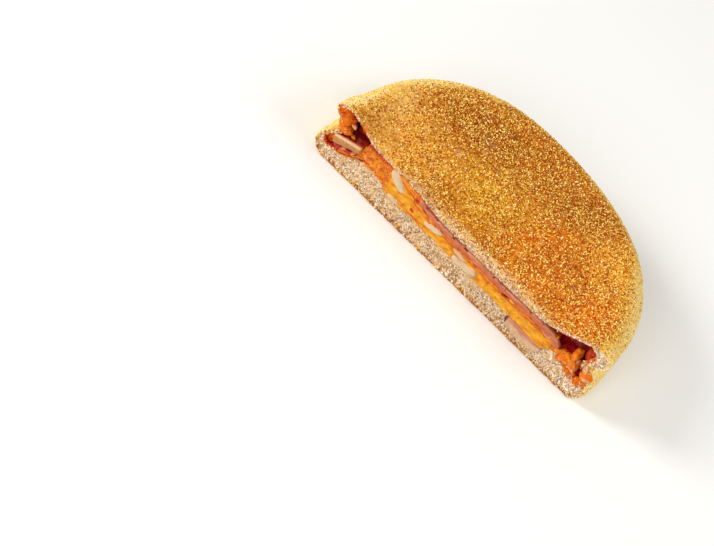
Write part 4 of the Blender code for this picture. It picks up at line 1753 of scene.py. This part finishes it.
        def high(x: Array, y: Array) -> Array:
            """Upper side of the sauce: under the ham, up to the roof round it, and low in the hollow ends.

            Args:
                x: places along the cut.
                y: distances behind the cut.

            Returns:
                Heights.
            """
            share, empty = ring(x, y), hollow(x, y)
            place = np.stack([x + 0 * y, y + 0 * x, 0 * (x + y)], axis=-1)
            uneven = 0.4 * MM * lumps(place, 2.2 * MM, 91, 2) + 0.35 * MM * lumps(place, 0.8 * MM, 94, 2)
            sunk = form.ground(x, y) + self.sauce_gap + self.hollow_film + uneven
            film = self.cheese_high(x, y) + self.sauce_film + 1.05 * self.gap
            full = form.roof(x, y) + 0.1 * MM
            before_ham = smooth((self.ham_x - self.ham_radius + 1.1 * MM - x) / (0.9 * MM))
            film = film * (1 - before_ham) + full * before_ham
            return film * (1 - share) + (full * (1 - empty) + sunk * empty) * share

        x = np.linspace(-self.sauce_half_width, self.sauce_half_width, 420)
        depth = self.round_depth(x, 0.0, form.radius - form.wall_behind - 0.9 * MM)
        loops, up = self.loops(x, depth, low, high, 0.42 * MM, self.sauce_relief, Rows(18, 44), 0.3 * MM)
        y = loops[..., 1] + form.half_depth
        ends = smooth((np.abs(loops[..., 0] - 1 * MM) - 31 * MM) / (2 * MM))
        x_mm, z_mm = loops[..., 0] / MM, loops[..., 2] / MM
        film = 0.16 * smooth((23 - np.abs(x_mm - 8)) / 2)
        under_crust = 0.75 * smooth((up - 0.84) / 0.12) * bump(x_mm, -31, 9)
        # Painted shade: a dark red spot where a hole shows.
        hole_shade_spot = 0.75 * bump(x_mm, -16.7, 1.3) * bump(z_mm, 12.6, 1.0)
        deep = 0.14 + film + under_crust + hole_shade_spot + 0.85 * ends * smooth((y - 0.1 * MM) / (1.6 * MM))
        # The pit is painted deep red, as painted shade in the hole.
        deep = deep + 0.15 * lumps(loops, 2.5 * MM, 93, 2) + self.pit(loops[..., 0], loops[..., 2])
        left, right = smooth((-25.0 - x_mm) / 2) * smooth((37.5 + x_mm) / 2), smooth((x_mm - 33.6) / 1.2)
        deep = deep + 0.42 * lumps(loops * np.array([0.5, 1, 1.5]), 1.3 * MM, 97, 2) * np.maximum(left, right)
        seat = np.maximum(left, right) * smooth(1.5 - y / (0.6 * MM))
        solid = Solid("tomato_sauce_set")
        solid.add_loops(loops, stain=np.clip(deep, 0, 1), seat=seat)
        piece = solid.make([finish])
        crumbs.strew(piece, "tomato_sauce")
        return declare(piece, "tomato_sauce", "tomato_sauce")


def plain_object(name: str, mesh: bmesh.types.BMesh, finish: bpy.types.Material) -> bpy.types.Object:
    """Makes a smooth object of one finish.

    Args:
        name: its name.
        mesh: the mesh under construction, which is used up.
        finish: its finish.

    Returns:
        The object.
    """
    data = bpy.data.meshes.new(name)
    mesh.to_mesh(data)
    mesh.free()
    data.materials.append(finish)
    data.shade_smooth()
    return scene_object(name, data)


@dataclass(frozen=True)
class Slice:
    """One slice of onion or a turned-down end of ham, measured from the middle of the cut: a bent bar."""

    name: str
    x: float
    z: float
    length: float
    thickness: float
    tilt: float
    bow: float
    depth: float
    stain: float = 0.1
    bluntness: float = 14  # 2 is a lens, and more is squarer at its ends
    nodes: tuple[str, ...] = ()
    proud: float = 1.0 * MM
    sauced: float = 0.9  # how red the slice is where it goes under the sauce
    taper: float = 0.0  # how much thinner it gets towards its right end

    def make(self, form: DoughForm, finish: bpy.types.Material, slot: str = "onion") -> bpy.types.Object:
        """Makes the slice.

        Args:
            form: the dough's form.
            finish: its finish.
            slot: the record's material slot.

        Returns:
            The piece.
        """
        u = np.linspace(-0.5, 0.5, 64)[:, None]
        around = np.linspace(0, math.tau, 44, endpoint=False)[None, :]
        end = np.clip(1.0 - np.abs(2 * u) ** self.bluntness, 0.0, 1) ** 0.5
        half = self.thickness / 2 * (0.12 + 0.88 * end) * (1 - self.taper * 2 * u)
        flat, deep = np.cos(around), np.sin(around)
        across = half * np.sign(flat) * np.abs(flat) ** 0.35 + self.bow * (2 * u) ** 2
        middle = (self.depth - self.proud) / 2
        reach = (self.depth + self.proud) / 2 * (0.85 + 0.15 * end)
        y = middle - reach * np.sign(deep) * np.abs(deep) ** 0.35
        along = u * self.length
        place = np.stack([along + 0 * y, y + 0 * u + self.z, across + 0 * y + self.x], axis=-1)
        across = across + 0.08 * MM * lumps(place, 1.3 * MM, 101, 2)
        y = y + 0.12 * MM * lumps(place, 1.5 * MM, 102, 2)
        slope = math.radians(self.tilt)
        x = self.x + along * math.cos(slope) - across * math.sin(slope)
        z = self.z + along * math.sin(slope) + across * math.cos(slope)
        loops = form.placed(x, y, z)
        rim = smooth(np.abs(flat) * 1.6 - 0.5) * (deep > 0) + 0 * u
        stain = self.stain * (1 + lumps(loops, 1.5 * MM, 103, 2)) + 0.25 * (np.abs(2 * u) ** 6)
        stain = np.maximum(stain, self.sauced * smooth((y - 0.1 * MM) / (0.5 * MM)))
        solid = Solid(self.name)
        solid.add_loops(loops, rim=rim, stain=np.clip(stain, 0, 1), fat=0.7 * rim)
        return declare(solid.make([finish]), slot, *self.nodes)


@dataclass(frozen=True)
class Lump:
    """One soft lump in the pocket: cheese, or dough soaked with sauce. In mm from the middle of the cut."""

    name: str
    at: tuple[float, float, float]
    half: tuple[float, float, float]
    stain: float
    swell: float = 0.22
    nodes: tuple[str, ...] = ()

    def make(self, form: DoughForm, finish: bpy.types.Material, slot: str) -> bpy.types.Object:
        """Makes the lump.

        Args:
            form: the dough's form.
            finish: its finish.
            slot: the record's material slot.

        Returns:
            The piece.
        """
        mesh = bmesh.new()
        bmesh.ops.create_icosphere(mesh, subdivisions=5, radius=1)
        points = np.array([vertex.co for vertex in mesh.verts])
        there = points + np.array(self.at) / MM
        points = points * (1 + self.swell * lumps(there, 0.9, 95, 3))[:, None]
        placed = form.placed(*((np.array(self.at) + points * np.array(self.half)) * MM).T)
        for vertex, place in zip(mesh.verts, inside_box(placed)):
            vertex.co = place
        made = plain_object(self.name, mesh, finish)
        layer = made.data.attributes.new("stain", "FLOAT", "POINT")
        stain = self.stain + 0.25 * lumps(placed, 1.2 * MM, 96, 3)
        layer.data.foreach_set("value", np.clip(stain, 0, 1).astype(np.float32))
        return declare(made, slot, *self.nodes)


def onion(name: str, x: float, z: float, *sizes: float, taper: float = 0.0) -> Slice:
    """An onion slice that stands for the node of its name.

    Args:
        name: the node's name.
        x: its middle along the cut, in mm.
        z: its height, in mm.
        sizes: length, thickness, tilt in degrees, bow, depth, stain and bluntness, lengths in mm.
        taper: how much thinner it gets towards its right end.

    Returns:
        The slice.
    """
    length, thickness, tilt, bow, depth, stain, bluntness = sizes
    lengths = (x * MM, z * MM, length * MM, thickness * MM, tilt, bow * MM, depth * MM)
    return Slice(f"{name}_slice", *lengths, stain, bluntness, (name,), taper=taper)


ONIONS = (
    onion("onion_left_upper", -40.2, 9.3, 8.4, 1.85, 20, 0.0, 6.5, 0.05, 60, taper=0.4),
    onion("onion_left_lower", -39.9, 7.6, 7.2, 1.1, 19, 0.2, 6.0, 0.8, 6),
    onion("onion_roof", -23.7, 12.7, 6.8, 2.8, -31, 0.0, 8.0, 0.04, 3.0),
    onion("onion_small", -22.0, 7.2, 4.2, 1.5, -4, 0.0, 6.0, 0.02, 2.4),
    onion("onion_middle", -9.1, 9.6, 6.2, 1.7, 10, 0.1, 7.0, 0.06, 2.6),
    onion("onion_large", 3.2, 7.6, 8.2, 2.3, 6, 0.2, 9.0, 0.0, 8),
    onion("onion_large_cap", 0.6, 9.5, 4.8, 1.1, -4, 0.1, 7.0, 0.12, 2.6),
)
HAM_END = Slice(
    "ham_turned_end",
    x=32.0 * MM,
    z=11.2 * MM,
    length=7.2 * MM,
    thickness=2.7 * MM,
    tilt=-14,
    bow=-0.2 * MM,
    depth=MM,
    stain=0.25,
    bluntness=2.0,
    proud=0.5 * MM,
    sauced=0.5,
)
ONION_BIT = Slice(
    "onion_bit_left",
    x=-41.7 * MM,
    z=14.8 * MM,
    length=1.7 * MM,
    thickness=1.4 * MM,
    tilt=-40,
    bow=0.2 * MM,
    depth=1.1 * MM,
    stain=0.55,
    bluntness=1.6,
    proud=-0.2 * MM,
    sauced=0.5,
    taper=0.4,
)
CHEESE_LUMPS = (
    Lump("cheese_lump_hanging", (40.2, 1.9, 11.8), (1.3, 2.2, 1.9), 0.1, 0.4, ("cheese_lump",)),
    Lump("cheese_bit_right", (33.1, 0.1, 8.0), (0.9, 0.5, 0.5), 0.0),
    Lump("cheese_bit_left", (-40.6, 1.4, 11.2), (0.7, 0.5, 0.45), 0.1, 0.7),
    Lump("cheese_knob_glossy", (13.4, -0.25, 10.3), (0.9, 0.5, 0.5), 0.0),
    Lump("cheese_knob_upper", (18.6, -0.3, 10.9), (0.9, 0.55, 0.6), 0.0),
    Lump("cheese_knob_small", (20.8, -0.25, 11.3), (0.6, 0.5, 0.45), 0.05),
    Lump("cheese_knob_right", (23.8, -0.3, 11.6), (0.9, 0.55, 0.6), 0.0),
)
SOAKED_LUMPS = (
    Lump("soaked_dough_left_lobe", (-45.5, 0.9, 16.6), (1.3, 1.2, 1.5), 0.6, 0.35),
    Lump("soaked_dough_left_wall", (-44.6, 1.5, 13.9), (1.8, 1.7, 2.9), 0.54, 0.25),
    Lump("soaked_dough_left_roof", (-43.6, 2.2, 15.2), (1.6, 1.6, 1.8), 0.8, 0.35),
    Lump("soaked_dough_left_fold", (-43.2, 1.4, 11.9), (1.9, 1.8, 1.5), 0.56, 0.3),
    Lump("soaked_dough_left_corner", (-44.9, 2.1, 6.6), (1.7, 1.5, 2.2), 0.72, 0.35),
    Lump("soaked_dough_left_seat", (-34.2, 0.5, 10.2), (2.2, 0.9, 1.1), 0.45, 0.4),
    Lump("soaked_dough_right_mass", (38.4, 0.9, 8.8), (2.7, 1.5, 1.5), 0.44, 0.35),
    Lump("soaked_dough_right_crevice", (41.4, 1.6, 8.4), (1.1, 1.9, 2.6), 0.42, 0.35),
    Lump("soaked_dough_inner_corner", (42.9, 3.4, 13.6), (1.6, 1.5, 2.3), 0.76, 0.25),
    Lump("soaked_dough_right_lobe", (45.6, 0.9, 8.8), (1.9, 1.3, 2.2), 0.44, 0.25),
)


# ---- the studio ----


@dataclass(frozen=True)
class Studio:
    """A pale floor, soft light from the upper left and a camera above the cut."""

    azimuth: float = 8.4
    elevation: float = 44.0
    roll: float = 38.8
    distance: float = 1.2
    metres_per_pixel: float = 0.2582 * MM
    picture: tuple[int, int] = (714, 546)
    cut_middle: tuple[float, float] = (441.8, 273.5)
    sensor: float = 36.0
    half_depth: float = DoughForm.half_depth
    light_distance: float = 0.8
    daylight: float = 0.4

    def axes(self) -> tuple[Vector, Vector, Vector]:
        """Works out how the camera is turned.

        Returns:
            Its right, its up and the way back to it.
        """
        turn, rise, roll = (math.radians(a) for a in (self.azimuth, self.elevation, self.roll))
        back = Vector((math.sin(turn) * math.cos(rise), -math.cos(turn) * math.cos(rise), math.sin(rise)))
        right = Vector((math.cos(turn), math.sin(turn), 0))
        up = back.cross(right)
        rolled = right * math.cos(roll) + up * math.sin(roll), up * math.cos(roll) - right * math.sin(roll)
        return (*rolled, back)

    def target(self) -> Vector:
        """Works out what the camera looks at.

        Returns:
            The point that the middle of the picture shows.
        """
        right, up, _ = self.axes()
        off_x = (self.cut_middle[0] - self.picture[0] / 2) * self.metres_per_pixel
        off_y = (self.picture[1] / 2 - self.cut_middle[1]) * self.metres_per_pixel
        return Vector((0, -self.half_depth, 0)) - right * off_x - up * off_y

    def camera(self) -> None:
        """Places the camera."""
        right, up, back = self.axes()
        data = bpy.data.cameras.new("camera")
        data.sensor_width = self.sensor
        data.lens = self.sensor * self.distance / (self.picture[0] * self.metres_per_pixel)
        data.clip_start = 0.05
        made = scene_object("camera", data)
        turned = Matrix((right, up, back)).transposed().to_4x4()
        made.matrix_world = Matrix.Translation(self.target() + back * self.distance) @ turned
        bpy.context.scene.camera = made

    def light(self, name: str, way: Vector, size: float, power: float, colour: str = "#FFFFFF") -> None:
        """Hangs one soft square light, pointing at the half.

        Args:
            name: its name.
            way: from the half towards it.
            size: its width in metres.
            power: watts.
            colour: its sRGB colour.
        """
        data = bpy.data.lights.new(name, "AREA")
        data.size, data.energy = size, power
        data.color = rgba(colour)[:3]
        made = scene_object(name, data)
        made.location = way.normalized() * self.light_distance
        made.rotation_euler = way.to_track_quat("Z", "Y").to_euler()

    def set_up(self) -> None:
        """Makes floor, lights and camera."""
        self.camera()
        right, up, back = self.axes()
        self.light("key", back * 0.65 - right * 0.75 + up * 0.85, 0.3, 4.5, "#FFFCF6")
        self.light("front", back - right * 0.25 - up * 0.1, 0.35, 1.9)
        self.light("side", back * 0.45 + right * 0.9 - up * 0.05, 0.5, 2.5, "#FFFAF0")
        world = bpy.data.worlds.new("studio")
        world.use_nodes = True
        sky = world.node_tree.nodes["Background"].inputs
        sky["Color"].default_value, sky["Strength"].default_value = rgba("#FFFFFF"), self.daylight
        bpy.context.scene.world = world
        bpy.context.scene.view_settings.view_transform = "Standard"
        shader = Shader("pale_floor", Roughness=0.9)
        mesh = bmesh.new()
        bmesh.ops.create_grid(mesh, x_segments=1, y_segments=1, size=3)
        floor = plain_object("floor", mesh, shader.finish(rgba("#FAFAF9")))


def meal(
    name: str,
    bed: str,
    density: float,
    small: float,
    large: float,
    spacing: float,
    seed: int,
    shape: GrainShape,
    finish: MealFinish,
) -> Meal:
    """One kind of grain, with its lengths in mm.

    Args:
        name: the piece's name.
        bed: the surface's own number that says how thickly it lies.
        density: how many grains a square metre has where it lies thickest.
        small: the smallest grain's size.
        large: the largest grain's size.
        spacing: the least distance between two grains.
        seed: which draw.
        shape: how the grains are shaped.
        finish: their finish.

    Returns:
        The kind of grain.
    """
    return Meal(name, bed, density, small * MM, large * MM, spacing * MM, seed, shape, finish)


GOLD = MealFinish("#AC3E02", "#FFDE48", 0.2)
# Near-white semolina grains: partly paler grains, and partly painted glints.
PALE_GRAIN_PAINTED_GLINT = MealFinish("#FFC830", "#FFF6A4", 0.0, 0.15, 0.7)
SCORCHED = MealFinish("#7C3E08", "#D88E24", 0.1, 0.5, 0.1)
TOASTED = MealFinish("#8A2C00", "#C85800", 0.05, 0.5, 0.1)
PALE = MealFinish("#E8B020", "#FFEE9C", 0.12)
CRUMB_WHITE = MealFinish("#E4C496", "#FFFFF8", 0.0, 0.8, 0.2)
# Painted shade: dark brown flakes strewn over the torn crumb stand for the small shadows between its fibres.
CRUMB_SHADE_FLAKES = MealFinish("#5E300E", "#AC7434", 0.0, 0.8, 0.2)
CRUMB_TAN = MealFinish("#A87848", "#F8E4C4", 0.0, 0.8, 0.1)
CRUMB_SOAKED = MealFinish("#A83404", "#F09020", 0.0, 0.5, 0.1)
MEAL = (
    meal("meal_gold", "meal_top", 6.5e6, 0.32, 0.6, 0.28, 1, GrainShape.DUST, GOLD),
    meal("meal_gold_dust", "meal_top", 5.5e6, 0.2, 0.36, 0.22, 2, GrainShape.DUST, GOLD),
    # Pale grains whose near-white colour is partly painted glint.
    meal("meal_bright_painted_glints", "meal_top", 3.0e6, 0.34, 0.64, 0.38, 3, GrainShape.BROKEN, PALE_GRAIN_PAINTED_GLINT),
    meal("meal_toasted", "meal_top", 4.0e6, 0.34, 0.6, 0.32, 4, GrainShape.DUST, TOASTED),
    meal("meal_pale", "meal_side", 4.2e6, 0.34, 0.62, 0.3, 5, GrainShape.DUST, PALE),
    meal("meal_pale_dust", "meal_side", 3.4e6, 0.22, 0.38, 0.24, 6, GrainShape.DUST, PALE),
    meal("lip_flakes", "lip", 7.0e6, 0.22, 0.5, 0.22, 13, GrainShape.FLAKE, CRUMB_WHITE),
)
CRUMBS = (
    meal("crumb_flakes", "flakes", 8.5e6, 0.2, 0.5, 0.2, 7, GrainShape.FLAKE, CRUMB_WHITE),
    meal("crumb_curls", "curls", 2.2e6, 0.45, 0.95, 0.4, 15, GrainShape.FLAKE, CRUMB_WHITE),
    meal("crumb_soaked", "soaked", 5.0e6, 0.2, 0.48, 0.26, 12, GrainShape.FLAKE, CRUMB_SOAKED),
    # Painted shade: dark flakes for the shadows in the torn crumb.
    meal("crumb_painted_shade", "flakes", 5.5e6, 0.2, 0.42, 0.25, 8, GrainShape.FLAKE, CRUMB_SHADE_FLAKES),
    meal("base_grit_toasted", "grit", 4.2e6, 0.35, 0.75, 0.34, 9, GrainShape.BROKEN, SCORCHED),
    meal("base_grit_gold", "grit", 3.2e6, 0.35, 0.85, 0.4, 10, GrainShape.BROKEN, GOLD),
    meal("base_grit_white", "grit", 2.4e6, 0.3, 0.65, 0.42, 11, GrainShape.BROKEN, CRUMB_WHITE),
)
SEAT_CRUMBS = meal("seat_crumbs", "seat", 6.0e6, 0.2, 0.5, 0.24, 14, GrainShape.FLAKE, CRUMB_SOAKED)
FOLD_CRUMBS = meal("fold_crumbs", "crumbed", 6.0e6, 0.2, 0.45, 0.24, 16, GrainShape.FLAKE, CRUMB_TAN)


def main() -> None:
    """Builds the half and its studio."""
    logging.basicConfig(level=logging.INFO, format="%(message)s")
    bread, filling = Bread(), Filling()
    pocket = CrumbFinish(red="#B4182E").material("soaked_crumb", wet=True)
    bread.core(CrustFinish().material(), pocket)
    bread.crumb(CrumbFinish().material("torn_crumb"))
    soaked = CrumbFinish().material("soaked_dough", wet=True)
    beds = bread.beds(bpy.data.materials.new("blank"))
    for bed, kinds in zip(beds, (MEAL, CRUMBS)):
        for kind in kinds:
            kind.strew(bed)
        bpy.data.objects.remove(bed)
    cheese, ham = CheeseFinish().material("melted_cheese"), HamFinish().material("cooked_ham")
    oozed = CheeseFinish(body="#DA6E04", light="#E88A18", deep="#BE4E04").material("oozed_cheese")
    filling.cheese(cheese)
    filling.ham_upper(ham)
    fatty = HamFinish(meat="#C88464", deep="#BA7454", fat="#D2B08A").material("fatty_ham")
    filling.ham_fold(fatty, FOLD_CRUMBS)
    HAM_END.make(filling.form, ham, "cooked_ham")
    for lump in CHEESE_LUMPS:
        lump.make(filling.form, oozed, "melted_cheese")
    for lump in SOAKED_LUMPS:
        lump.make(filling.form, pocket if "inner" in lump.name else soaked, "baked_dough")
    filling.sauce(SauceFinish().material("tomato_sauce"), SEAT_CRUMBS)
    glassy = OnionFinish().material("cooked_onion")
    browned = OnionFinish(flesh="#BA7E48", vein="#9E6838", edge="#FCE4B4").material("browned_onion")
    for piece in ONIONS:
        piece.make(filling.form, browned if "left" in piece.name else glassy)
    ONION_BIT.make(filling.form, glassy)
    Studio().set_up()


if __name__ == "__main__":
    main()
